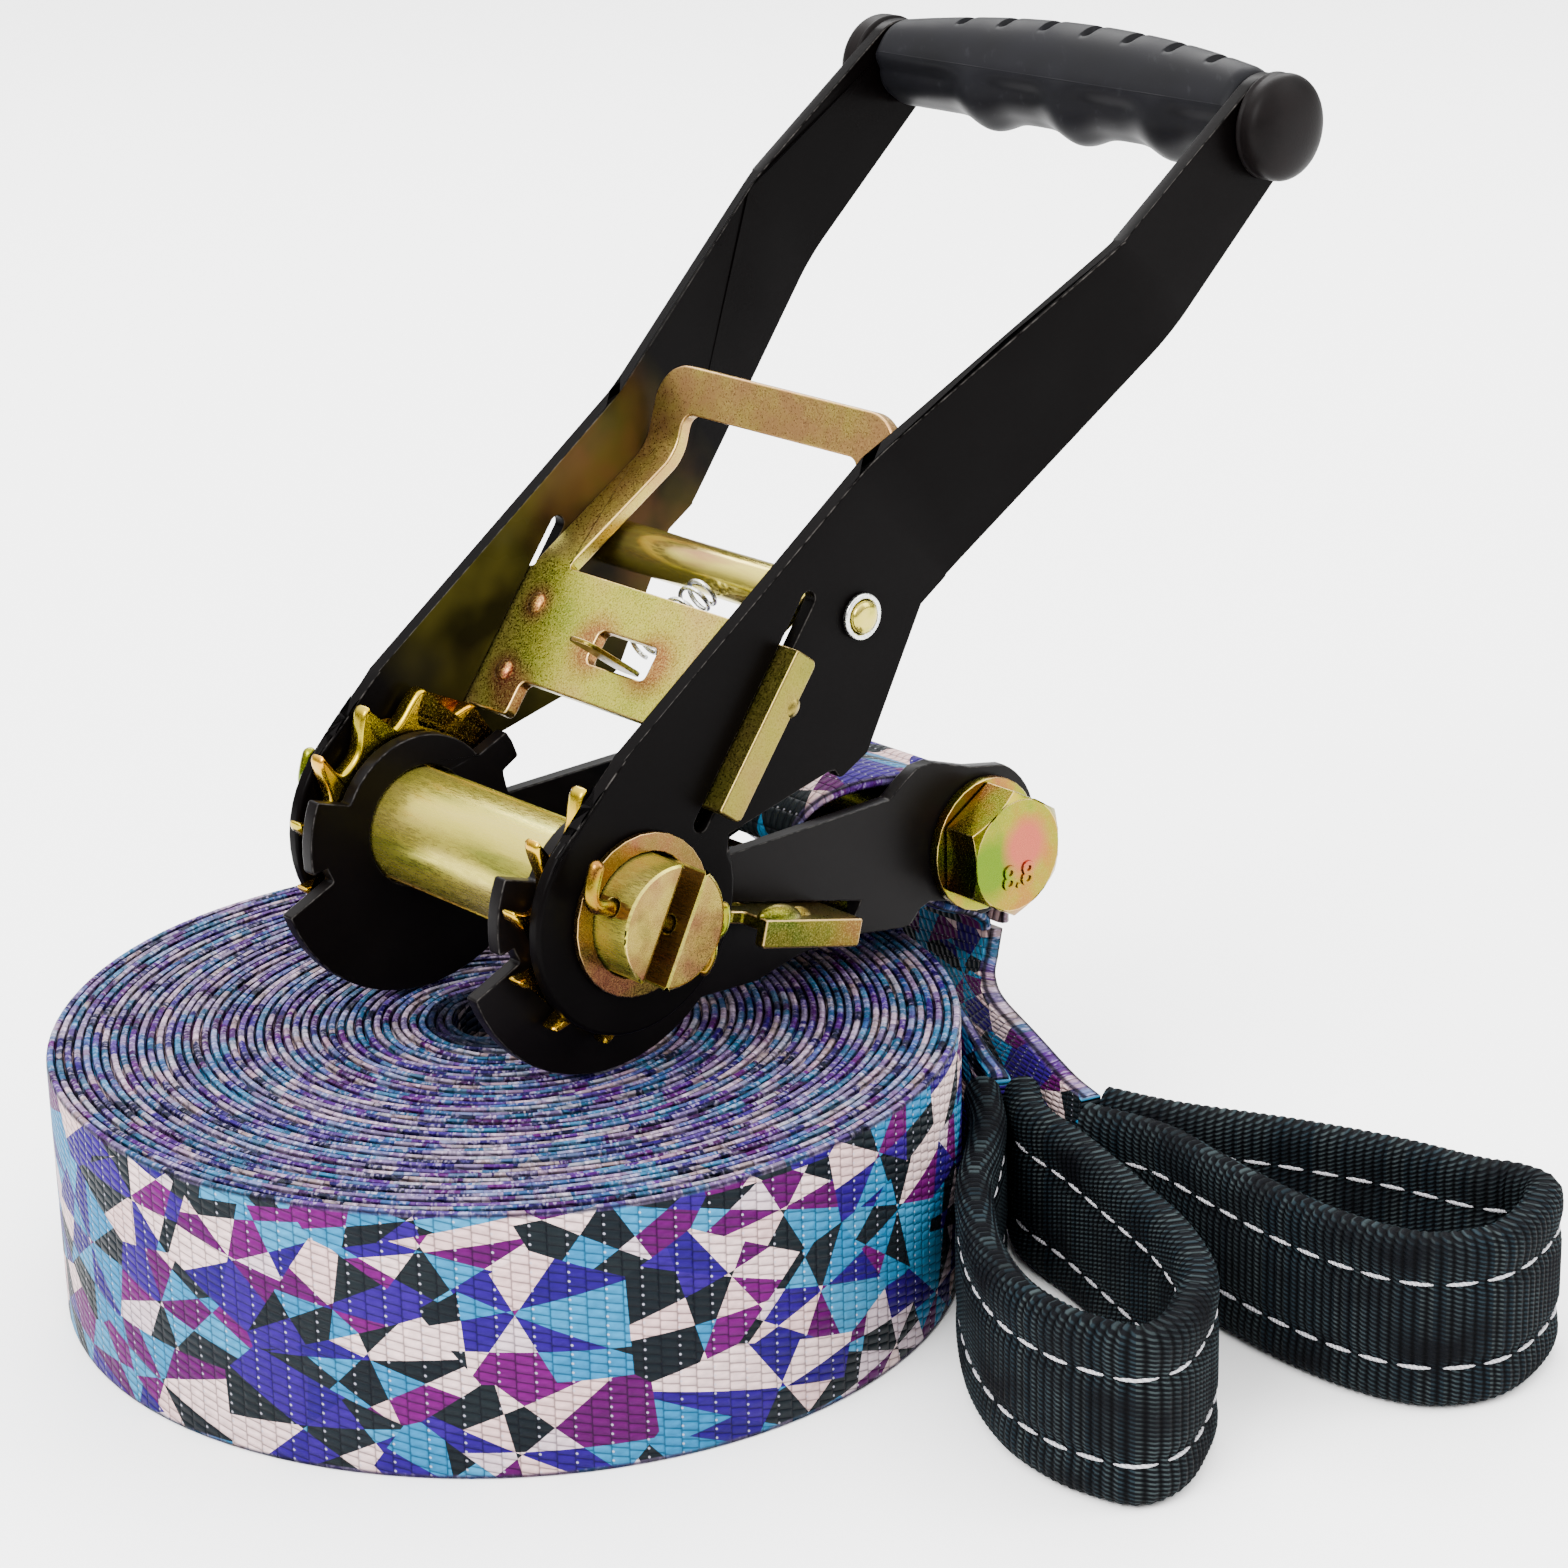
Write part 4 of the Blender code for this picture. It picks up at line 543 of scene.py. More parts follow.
def coil_stations():
    """Angle, radius and distance along the webbing at every step from the core outwards."""
    stations = []
    along = 0.0
    for n in range(COIL_TURNS * COIL_STEPS_PER_TURN + 1):
        turns = n / COIL_STEPS_PER_TURN
        angle = math.radians(COIL_END_DEGREES + 360.0 * (COIL_TURNS - turns))
        radius = COIL_CORE_RADIUS + COIL_PITCH * turns
        if stations:
            along += radius * 2.0 * math.pi / COIL_STEPS_PER_TURN
        stations.append((angle, radius, along))
    return stations


def coil_point(station, ring_point):
    angle, radius, along = station
    through, across = ring_point
    turn_share = (radius - COIL_CORE_RADIUS) / COIL_PITCH
    waves = math.sin(3.0 * angle + 0.61 * turn_share) + math.sin(7.0 * angle + 2.3 * turn_share)
    rise = EDGE_WANDER * waves / 2
    sway = SIDE_WANDER * math.sin(2.0 * angle + 0.05 * turn_share) * turn_share / COIL_TURNS
    reach = radius + through + sway
    top = across + rise * max(0.0, across) / (WEBBING_WIDTH / 2)
    spot = Vector((reach * math.cos(angle), reach * math.sin(angle), WEBBING_WIDTH / 2 + top))
    return COIL_MIDDLE + spot, Vector((along + 2.0 * CORE_START, across, through))


def make_coil():
    stations = coil_stations()
    ring = flat_ring(WEBBING_WIDTH, WEBBING_THICKNESS)
    coil = swept("coil_of_webbing", stations, ring, coil_point, PRINTED_WEBBING)
    place_on(coil, "base", "main_line_coil")
    length = stations[-1][2]
    return coil, length


COIL, COIL_LENGTH = make_coil()
print("webbing in the coil, in metres:", round(COIL_LENGTH, 2))

# %% [markdown]
# ## The end of the main line
#
# From the coil to its loop the webbing is folded narrower, so that it fits inside the sleeve. The
# same sweep does it, with a section whose width and thickness change along the way.

# %% Tail of the main line
TAIL_ROUTE = (
    (72.3, 44.8), (79.0, 34.5), (85.0, 22.5), (88.9, 13.0), (91.1, 9.0), (91.5, 7.0),
)
SLEEVE_HEIGHT = 33.0 * MM
SLEEVE_THICKNESS = 7.0 * MM
FOLDED_THICKNESS = 4.2 * MM
UNIT_THICKNESS = 0.06
STEP = 0.9 * MM


def on_floor(route):
    return Path([COIL_MIDDLE + Vector((x * MM, y * MM, 0.0)) for x, y in route])


def even_steps(path, step):
    count = max(2, round(path.length / step))
    return [path.length * n / count for n in range(count + 1)]


def make_tail():
    path = on_floor(TAIL_ROUTE)

    def place(distance, ring_point):
        share = distance / path.length
        width = WEBBING_WIDTH + (SLEEVE_HEIGHT - 1.0 * MM - WEBBING_WIDTH) * share
        thickness = WEBBING_THICKNESS + (FOLDED_THICKNESS - WEBBING_THICKNESS) * share ** 2
        through, across = ring_point
        middle, ahead = path.at(distance)
        spot = middle + sideways(ahead) * through * thickness + UP * (across * width + width / 2)
        along = COIL_LENGTH + 2.0 * CORE_START + distance
        return spot, Vector((along, across * WEBBING_WIDTH, through * thickness))

    ring = [(through / UNIT_THICKNESS, across) for through, across in flat_ring(1.0, UNIT_THICKNESS)]
    tail = swept("main_line_end", even_steps(path, STEP), ring, place, PRINTED_WEBBING)
    place_on(tail, "base", "main_line_tail")
    return path.length


print("tail in mm:", round(make_tail() / MM, 1))

# %% [markdown]
# ## The sleeves over the loops
#
# A loop that is thrown round a tree is sleeved against wear. The sleeve is thick black webbing,
# ribbed across, folded over and sewn with two rows of white thread that draw it in a little. The
# ribs are real relief here: the section swells and shrinks once for each rib. Rows of small
# stitches lie in the two channels.

# %% Finish of the sleeves
RIB_PITCH = 1.8 * MM
RIB_HEIGHT = 0.30 * MM
YARN_ACROSS, YARN_ALONG = 0.85 * MM, 2.2 * MM
YARN_RELIEF = 0.20 * MM
THREAD_TWIST = 0.75 * MM
THREAD_RELIEF = 0.12 * MM
SEAM_FROM_EDGE = 8.5 * MM
SEAM_DEPTH = 0.8 * MM
SEAM_WIDTH = 1.3 * MM


def ribbed_sleeve():
    finish = Finish("ribbed_sleeve", Roughness=0.66, Specular_IOR_Level=0.03)
    strip = finish.attribute("strip", "Vector")
    along, across, _ = finish.split(strip)
    rib = (along * (2.0 * math.pi / RIB_PITCH)).cosine()
    slant = across / YARN_ACROSS + along / YARN_ALONG
    yarn = (slant * (2.0 * math.pi)).sine()
    chance = finish.chance(finish.add("CombineXYZ", {0: (along / RIB_PITCH).floor()}))
    patch = finish.noise(finish.stretched(strip, (60.0, 90.0, 60.0)), 1.0, 3.0)
    teal = finish.mix(chance, (22, 34, 40), (47, 55, 56))
    # Painted sheen: teal dashes along the yarn, in patches, stand for light catching the black sleeve.
    painted_sheen = finish.clamp_range(yarn, -0.1, 0.7) * finish.clamp_range(patch, 0.30, 0.55)
    colour = finish.mix(painted_sheen * 0.85, (7, 8, 11), teal)
    # Painted shade: the troughs between ribs are darkened.
    colour = finish.mix(finish.clamp_range(rib, -1.0, 0.1, 0.92, 0.0), colour, (1, 1, 2))
    return finish.finish(Base_Color=colour, Normal=finish.bump(rib * 0.5 + yarn * 0.30, YARN_RELIEF))


def white_thread():
    finish = Finish("white_thread", Roughness=0.5)
    along, around, _ = finish.split(finish.attribute("strip", "Vector"))
    lay = along / THREAD_TWIST + around
    twist = (lay * (2.0 * math.pi)).sine()
    # Painted shade: the grooves of the twist are darkened.
    dark = finish.clamp_range(twist, -1.0, 0.2, 0.5, 0.0)
    colour = finish.mix(dark, (186, 184, 188), (92, 90, 102))
    return finish.finish(Base_Color=colour, Normal=finish.bump(twist, THREAD_RELIEF))


RIBBED_SLEEVE = ribbed_sleeve()
WHITE_THREAD = white_thread()
print("ribs to a centimetre:", round(10.0 * MM / RIB_PITCH, 1))

# %% [markdown]
# The sleeve's section is a flat oval: half-round edges, two faces, and a channel in each face
# along each seam. The helper gives half its thickness at any place across it, and the ring of
# points is set closer together where the section curves.

# %% Section of a sleeve
SLEEVE_EDGE_STEPS = 7
SLEEVE_FACE_STEPS = 14


def sleeve_half_thickness(across):
    half, radius = SLEEVE_HEIGHT / 2, SLEEVE_THICKNESS / 2
    past = max(0.0, abs(across) - (half - radius))
    round_part = math.sqrt(max(0.0, radius * radius - past * past))
    from_seam = (abs(across) - (half - SEAM_FROM_EDGE)) / SEAM_WIDTH
    return round_part - SEAM_DEPTH * math.exp(-from_seam * from_seam) * (0.0 if past else 1.0)


def sleeve_ring():
    half, radius = SLEEVE_HEIGHT / 2, SLEEVE_THICKNESS / 2
    ring = []
    for side in (1.0, -1.0):
        for n in range(SLEEVE_EDGE_STEPS):
            angle = math.radians(-90.0 + 180.0 * n / SLEEVE_EDGE_STEPS)
            across = side * (half - radius + radius * math.cos(angle))
            ring.append((-side * radius * math.sin(angle), across))
        for n in range(SLEEVE_FACE_STEPS):
            across = side * (half - radius) * (1.0 - 2.0 * n / SLEEVE_FACE_STEPS)
            ring.append((-side * sleeve_half_thickness(across), across))
    return ring


def outward(ring):
    """The direction that faces out of the section at each of its points."""
    normals = []
    for n in range(len(ring)):
        before, after = Vector(ring[n - 1]), Vector(ring[(n + 1) % len(ring)])
        edge = after - before
        normals.append(Vector((edge.y, -edge.x)).normalized())
    middle = Vector(ring[0]) - Vector(ring[len(ring) // 2])
    return normals if normals[0].dot(middle) > 0.0 else [-normal for normal in normals]


print("points round a sleeve:", len(sleeve_ring()))

# %% [markdown]
# Each sleeve is swept along its loop, four stations to a rib. The stitches are small balls
# stretched along the seam, some thirty to a row, and all of one sleeve's stitches are one piece.

# %% Sleeves and their stitches
LINE_LOOP_ROUTE = (
    (88.1, 5.5), (88.4, -8.0), (86.6, -22.0), (84.2, -38.0), (84.8, -60.0), (89.0, -77.0),
    (95.5, -88.0), (102.0, -94.0), (108.3, -97.0), (114.0, -93.0), (118.0, -84.0), (120.5, -73.0),
    (118.0, -57.0), (112.0, -41.0), (104.0, -21.5), (97.0, -7.0), (95.5, 5.5),
)
STRAP_LOOP_ROUTE = (
    (106.8, -8.2), (119.5, -18.2), (128.5, -32.0), (138.0, -46.0), (147.5, -57.0), (157.0, -64.0),
    (165.0, -65.5), (173.5, -62.5), (180.5, -54.0), (184.5, -44.0), (180.5, -38.5), (174.0, -35.5),
    (161.0, -26.5), (144.0, -17.5), (123.0, -8.5), (111.0, -1.3),
)
STITCH_LENGTH = 5.3 * MM
STITCH_PITCH = 6.6 * MM
THREAD_RADIUS = 0.38 * MM
STITCH_SIDES = 6


def add_stitch(shape, strip, path, start, through, across):
    """One stitch along the path, standing a little proud of its channel."""
    ball = bmesh.ops.create_uvsphere(
        shape, u_segments=STITCH_SIDES, v_segments=STITCH_SIDES, radius=1.0,
        matrix=Matrix.Rotation(math.radians(90.0), 4, "Y"))
    for vert in ball["verts"]:
        share, aside, rise = vert.co
        distance = start + (share + 1.0) / 2.0 * STITCH_LENGTH
        middle, ahead = path.at(distance)
        height = SLEEVE_HEIGHT / 2 + across + rise * THREAD_RADIUS
        vert[strip] = Vector((distance, math.atan2(rise, aside) / (2.0 * math.pi), 0.0))
        vert.co = middle + sideways(ahead) * (through + aside * THREAD_RADIUS) + UP * height


def make_sleeve(name, stitches_name, node, route):
    path = on_floor(route)
    ring = sleeve_ring()
    lookup = dict(zip(ring, outward(ring)))

    def place(distance, ring_point):
        swell = RIB_HEIGHT * (0.5 * math.cos(2.0 * math.pi * distance / RIB_PITCH) - 0.5)
        through, across = Vector(ring_point) + lookup[ring_point] * swell
        middle, ahead = path.at(distance)
        spot = middle + sideways(ahead) * through + UP * (SLEEVE_HEIGHT / 2 + across)
        return spot, Vector((distance, across, through))

    sleeve = swept(name, even_steps(path, RIB_PITCH / 4), ring, place, RIBBED_SLEEVE)
    place_on(sleeve, "base", node)
    shape = bmesh.new()
    strip = shape.verts.layers.float_vector.new("strip")
    seam = SLEEVE_HEIGHT / 2 - SEAM_FROM_EDGE
    count = int((path.length - STITCH_PITCH) / STITCH_PITCH)
    for face in (1.0, -1.0):
        for across in (seam, -seam):
            for n in range(count):
                through = face * (sleeve_half_thickness(across) + THREAD_RADIUS * 0.35)
                add_stitch(shape, strip, path, STITCH_PITCH * (n + 0.5), through, across)
    stitches = finished_object(stitches_name, shape, WHITE_THREAD, 80.0)
    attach(stitches, "base")
    print(name, "in mm:", round(path.length / MM), "stitches:", 4 * count)


make_sleeve("line_loop_sleeve", "line_loop_stitches", "main_line_loop_sleeve", LINE_LOOP_ROUTE)
make_sleeve("strap_loop_sleeve", "strap_loop_stitches", "anchor_strap_loop_sleeve", STRAP_LOOP_ROUTE)

# %% [markdown]
# ## The anchor strap
#
# The short strap goes round the bolt's tube between the arms, lies in a soft loop behind it and
# hangs down beside the coil to the second sleeved loop. The part round the tube is drawn in the
# side view of the ratchet and swept across its width. The hanging part turns from lying flat to
# standing on its edge, so both of its edges are drawn, and the webbing lies between them.

# %% Anchor strap
BOLT_PLACE = Vector((BOLT_X, BOLT_Y)) * MM
BOLT_TUBE_RADIUS = 9.0 * MM
STRAP_THICKNESS = 2.3 * MM
STRAP_SEAT = BOLT_TUBE_RADIUS + 1.6 * MM
HANGING_STEPS = 80
WRAP_START_SHARES = ((1.095, -2.00), (1.095, -1.05))
WRAP_TURN_DEGREES = (-12, 10, 32, 54, 76, 98)
WRAP_LOOP_SHARES = (
    (-1.10, 1.35), (-2.30, 1.58), (-3.40, 1.54), (-4.00, 1.20), (-3.90, 0.82), (-3.10, 0.58),
    (-2.10, 0.15), (-1.20, -0.70), (-0.50, -1.22), (0.20, -1.52), (0.58, -1.78), (0.64, -2.00),
)
STRAP_NEAR_EDGE = (
    (100.3, -34.9, 25.0), (98.0, -39.3, 26.0), (93.0, -41.3, 30.0), (87.5, -42.3, 38.0),
    (85.0, -45.3, 49.0), (82.3, -48.8, 61.0), (79.9, -49.5, 69.8),
)
STRAP_FAR_EDGE = (
    (100.3, -34.9, -25.0), (98.0, -60.3, -8.0), (93.0, -72.3, 12.0), (87.5, -76.3, 31.0),
    (85.0, -79.3, 46.0), (82.3, -81.1, 60.0), (79.9, -81.8, 69.8),
)


def wrap_path():
    angles = [math.radians(degrees) for degrees in WRAP_TURN_DEGREES]
    round_tube = [(math.cos(angle), math.sin(angle)) for angle in angles]
    shares = [*WRAP_START_SHARES, *round_tube, *WRAP_LOOP_SHARES]
    return Path([(*(BOLT_PLACE + Vector(share) * STRAP_SEAT), 0.0) for share in shares])


def make_wrap():
    path = wrap_path()

    def place(distance, ring_point):
        middle, ahead = path.at(distance)
        through, across = ring_point
        spot = middle + sideways(ahead) * through + UP * across
        return RATCHET @ spot, Vector((distance, across, through))

    ring = flat_ring(WEBBING_WIDTH, STRAP_THICKNESS)
    wrap = swept("strap_round_the_bolt", even_steps(path, STEP), ring, place, PRINTED_WEBBING)
    place_on(wrap, "base", "anchor_strap_wrap")
    return path.length


def make_hanging_strap():
    edges = (STRAP_NEAR_EDGE, STRAP_FAR_EDGE)
    near, far = [Path([Vector(point) * MM for point in edge]) for edge in edges]
    stations = [n / HANGING_STEPS for n in range(HANGING_STEPS + 1)]
    length = (near.length + far.length) / 2

    def place(share, ring_point):
        one, ahead_one = near.at(share * near.length)
        two, ahead_two = far.at(share * far.length)
        through, across = ring_point
        out = (one - two).cross(ahead_one + ahead_two).normalized()
        middle = (one + two) / 2 + (one - two) * across / WEBBING_WIDTH
        spot = middle + out * through * FOLDED_THICKNESS / STRAP_THICKNESS
        return RATCHET @ spot, Vector((share * length, across, through))

    ring = flat_ring(WEBBING_WIDTH, STRAP_THICKNESS)
    strap = swept("hanging_strap", stations, ring, place, PRINTED_WEBBING)
    place_on(strap, "base", "anchor_strap")
    return length


print("strap round the bolt in mm:", round(make_wrap() / MM))
print("hanging strap in mm:", round(make_hanging_strap() / MM))

# %% [markdown]
# ## Where a finish changes
#
# Some parts aren't the same all over. The end faces of the spindle were sawn and then plated,
# which left them pinker than its sides, and the walls of its slot are darker. A finish tells such
# faces by the direction that they look in, which is the object's own normal, so it turns with the
# spindle. The pull bar of the drive pawl is browner than its plate and its wings are duller, and
# the far handle plate has a painted reflection of the gold pawl, faintly olive and brown, where it
# lies beside the pawl. Distances along the parts tell these. The face of the bolt head is a small
# rainbow, green on one side, pink in the middle and yellow round it, and distances from two chosen
# places draw it.
#
# Each of these functions gives a share from 0 to 1, by which a finish below mixes in a tint.

# %% Shares of a tint
BOLT_FACE_Z = 39.8
SLOT_DEGREES = 62.0


def near_place(place, inner, outer, most):
    def share(finish):
        distance = finish.measure("DISTANCE", finish.places(), place)
        return finish.clamp_range(distance, inner, outer, most, 0.0)
    return share


def along_part(finish, turn_degrees, axis=(1.0, 0.0, 0.0)):
    """How far a place is from the spindle along one axis of a frame turned about it."""
    start, end = in_ratchet(0.0, 0.0, 0.0), in_ratchet(*axis, turn_degrees)
    offset = finish.add("VectorMath", {0: finish.places(), 1: start}, operation="SUBTRACT")
    return finish.measure("DOT_PRODUCT", offset, (end - start).normalized())


def out_from_middle(finish):
    """How far a place is from the middle of the ratchet, on either side."""
    return abs(along_part(finish, 0.0, (0.0, 0.0, 1.0)))


def end_faces(finish):
    patches = finish.clamp_range(finish.noise(finish.places(), 9.0 * MM, 2.0), 0.35, 0.60, 1.0, 0.45)
    return finish.clamp_range(abs(finish.facing(OUT_OF_SIDE)), 0.8, 0.95) * patches


def slot_walls(finish):
    """The two walls of the slot, outside the plates."""
    wall = in_ratchet(0.0, 1000.0, 0.0, SLOT_DEGREES) - in_ratchet(0.0, 0.0, 0.0)
    outside = finish.clamp_range(out_from_middle(finish), 36.0 * MM, 37.0 * MM)
    return finish.clamp_range(abs(finish.facing(wall)), 0.985, 0.995, 0.0, 0.85) * outside


def pull_bar(finish):
    patches = finish.clamp_range(finish.noise(finish.places(), 7.0 * MM, 3.0), 0.30, 0.62, 0.35, 0.8)
    return patches * finish.clamp_range(along_part(finish, DRIVE_DEGREES), 60.0 * MM, 84.0 * MM)


def wings(finish):
    return finish.clamp_range(out_from_middle(finish), 33.0 * MM, 36.0 * MM, 0.0, 0.7)


def painted_pawl_reflection(low, high, most, patch):
    """Painted reflection of the pawl: between two distances along the handle, on the face towards it, in
    soft patches.
    """
    def share(finish):
        along = along_part(finish, HANDLE_DEGREES)
        rise = finish.clamp_range(along, low, low + 24.0 * MM)
        fall = finish.clamp_range(along, high - 22.0 * MM, high, 1.0, 0.0)
        inner = finish.clamp_range(finish.facing(OUT_OF_SIDE), 0.4, 0.8)
        cloud = finish.clamp_range(finish.noise(finish.places(), patch, 2.0), 0.36, 0.60, 0.12, 1.0)
        return rise * fall * (inner * cloud) * most
    return share


print("bolt face at", [round(value, 3) for value in in_ratchet(BOLT_X, BOLT_Y, BOLT_FACE_Z)])

# %% [markdown]
# ## Black powder coat
#
# The plates are pressed steel with a black powder coat: an even, slightly rough skin with a soft
# sheen. A fine grey line follows the rims of a pressed plate: partly wear, where the coat thins,
# and partly a painted highlight, where a rim catches the light. The rounded copies below mark
# their rims in an attribute called edge, from 0 on the flat to 1 in the middle of the rim, and a
# patchy noise breaks that line up. The base plates' coat is lighter in colour than the handle
# plates', as a painted sheen, and a little more reflective.

# %% Powder coat
def powder_coat(name, level, dark, light, roughness=0.34, tints=()):
    finish = Finish(name, Specular_IOR_Level=level)
    places = finish.places()
    peel = finish.noise(places, 0.55 * MM, 2.0)
    cloud = finish.noise(places, 24.0 * MM, 3.0)
    broken = finish.clamp_range(finish.noise(places, 1.6 * MM, 3.0, 0.6), 0.40, 0.68)
    # The pale rim line is partly wear and partly a painted highlight where a rim catches the light.
    rim_wear_and_highlight = finish.clamp_range(finish.attribute("edge"), 0.35, 1.0) * broken
    colour = finish.mix(finish.clamp_range(cloud, 0.35, 0.65), dark, light)
    colour = finish.tinted(finish.mix(rim_wear_and_highlight * 0.7, colour, (74, 71, 68)), tints)
    patchy = finish.clamp_range(cloud, 0.3, 0.7, roughness - 0.04, roughness + 0.08)
    return finish.finish(Base_Color=colour, Roughness=patchy, Normal=finish.bump(peel, 0.010 * MM))


HANDLE_COAT = powder_coat("handle_powder_coat", 0.02, (3, 2, 2), (5, 4, 4))
# The base plates' coat is lighter in colour than the handle plates': a painted sheen.
BASE_COAT_WITH_PAINTED_SHEEN = powder_coat("base_powder_coat_painted_sheen", 0.05, (7, 5, 5), (10, 8, 8))
# Painted reflection: olive and brown patches of the gold pawl are mixed into the far plate's colour.
PAWL_REFLECTION_COAT = powder_coat("far_handle_powder_coat_painted_reflection", 0.02, (3, 2, 2), (5, 4, 4), 0.28, tints=(
    (painted_pawl_reflection(14.0 * MM, 100.0 * MM, 0.85, 18.0 * MM), (62, 57, 18)),
    (painted_pawl_reflection(52.0 * MM, 98.0 * MM, 0.7, 11.0 * MM), (74, 47, 26))))
print("powder coats:", HANDLE_COAT.name, BASE_COAT_WITH_PAINTED_SHEEN.name, PAWL_REFLECTION_COAT.name)

# %% [markdown]
# ## Yellow zinc
#
# The pawls, the wheels, the spindle and the bolt are zinc plated and passivated yellow. That skin
# is thinner than a wave of light, so it shifts between olive green, gold and pink from place to
# place, most of all round holes and near edges. Under it the steel was tumbled, which leaves fine
# grains that sparkle.
#
# One function makes every yellow zinc here. A large soft noise chooses the hue, small spots of
# pink blush sit where a hole or a dimple is, and a fine noise gives the grains. The rounded rims
# get a painted highlight in pale cream. The spindle gets the same skin drawn out along its length,
# as bar steel has it.

# %% Yellow zinc
ZINC_HUES = ((0.30, (76, 98, 12)), (0.46, (112, 110, 18)), (0.60, (126, 92, 24)), (0.74, (122, 64, 46)))
PAWL_HUES = (
    (0.30, (134, 142, 42)), (0.46, (164, 158, 54)), (0.60, (172, 150, 72)), (0.74, (158, 112, 84)))
WHEEL_HUES = (
    (0.30, (140, 138, 22)), (0.46, (184, 150, 26)), (0.60, (196, 136, 34)), (0.74, (168, 90, 52)))
BAR_HUES = ((0.30, (118, 122, 40)), (0.46, (172, 160, 62)), (0.60, (178, 162, 76)), (0.76, (150, 108, 72)))
WASHER_HUES = ((0.30, (88, 74, 30)), (0.46, (104, 80, 40)), (0.60, (112, 72, 46)), (0.74, (100, 56, 44)))
LOCK_HUES = ((0.30, (62, 74, 12)), (0.46, (88, 80, 18)), (0.60, (98, 72, 26)), (0.74, (96, 52, 40)))
ZINC_BLUSH = (134, 66, 52)
PAWL_BLUSHES = (
    (43.0, -3.1, 8.0, 8.0), (43.0, -3.1, -8.0, 8.0), (47.4, -3.1, -28.0, 5.0), (33.3, -3.1, -28.0, 5.0),
    (30.0, -4.4, -24.0, 7.0),
)
GRAIN_SIZE = 0.32 * MM


def yellow_zinc(name, patch=22.0 * MM, roughness=0.33, grain=1.0, hues=ZINC_HUES, blushes=(),
                lengthwise=None, metallic=1.0, tints=()):
    """Blushes are (x, y, z, radius) on the drive pawl; lengthwise is the turn of a bar's own frame."""
    finish = Finish(name, metallic)
    places = drawn = finish.places()
    if lengthwise is not None:
        drawn = finish.add("Mapping", {"Vector": places, "Rotation": lengthwise, "Scale": (1.0, 1.0, 7.0)},
                           vector_type="TEXTURE")
    colour = finish.ramp(finish.noise(drawn, patch, 3.0, 0.55), hues)
    for *spot, radius in blushes:
        place = in_ratchet(*spot, DRIVE_DEGREES)
        share = near_place(place, radius * MM * 0.45, radius * MM, 0.8)(finish)
        colour = finish.mix(share, colour, ZINC_BLUSH)
    grains = finish.noise(drawn, GRAIN_SIZE, 1.0)
    bright = finish.clamp_range(grains, 0.50, 0.70, 0.0, 0.62 * grain)
    dark = finish.clamp_range(grains, 0.32, 0.50, 0.55 * grain, 0.0)
    # Painted highlight: the rounded rims are mixed towards pale cream.
    rim = finish.clamp_range(finish.attribute("edge"), 0.3, 1.0, 0.0, 0.6)
    colour = finish.mix(bright, colour, (196, 182, 98))
    colour = finish.mix(dark, colour, (40, 34, 8))
    colour = finish.tinted(finish.mix(rim, colour, (214, 180, 120)), tints)
    rough = finish.clamp_range(grains, 0.3, 0.7, roughness - 0.07, roughness + 0.09)
    return finish.finish(Base_Color=colour, Roughness=rough,
                         Normal=finish.bump(grains, 0.020 * MM, 0.6 * grain))


SPINDLE_TURN = RATCHET.to_euler()
PAWL_ZINC = yellow_zinc("drive_pawl_zinc", grain=0.7, hues=PAWL_HUES, blushes=PAWL_BLUSHES, tints=(
    (pull_bar, (152, 106, 74)), (wings, (70, 60, 26))))
WHEEL_ZINC = yellow_zinc("wheel_zinc", 16.0 * MM, 0.20, 0.06, WHEEL_HUES)
SPINDLE_ZINC = yellow_zinc("spindle_zinc", 7.0 * MM, 0.27, 0.03, BAR_HUES, lengthwise=SPINDLE_TURN,
                           metallic=0.85, tints=((slot_walls, (84, 34, 12)), (end_faces, (112, 70, 44))))
ROD_ZINC = yellow_zinc("cross_rod_zinc", 6.0 * MM, 0.18, 0.05, BAR_HUES, lengthwise=SPINDLE_TURN,
                       metallic=0.9)
WASHER_ZINC = yellow_zinc("washer_zinc", 9.0 * MM, 0.28, 0.15, WASHER_HUES)
LOCK_ZINC = yellow_zinc("lock_pawl_zinc", 14.0 * MM, grain=0.35, hues=LOCK_HUES)
FASTENER_ZINC = yellow_zinc("fastener_zinc", 9.0 * MM, 0.24, 0.12)
BOLT_GREEN = near_place(in_ratchet(BOLT_X - 7.5, BOLT_Y - 1.0, BOLT_FACE_Z), 4.0 * MM, 8.0 * MM, 0.9)
BOLT_PINK = near_place(in_ratchet(BOLT_X + 2.0, BOLT_Y + 1.5, BOLT_FACE_Z), 3.5 * MM, 7.0 * MM, 0.9)
BOLT_ZINC = yellow_zinc("bolt_zinc", 12.0 * MM, 0.25, 0.14, tints=(
    (BOLT_GREEN, (70, 98, 6)), (BOLT_PINK, (148, 64, 56))))
print("hues in the yellow zinc:", len(ZINC_HUES))

# %% [markdown]
# ## The other finishes
#
# The springs, the rod and its rings are plain bright zinc. The grip is charcoal polypropylene with
# an even, fine texture and a faint seam where the mould closed. The caps are a browner rubber.

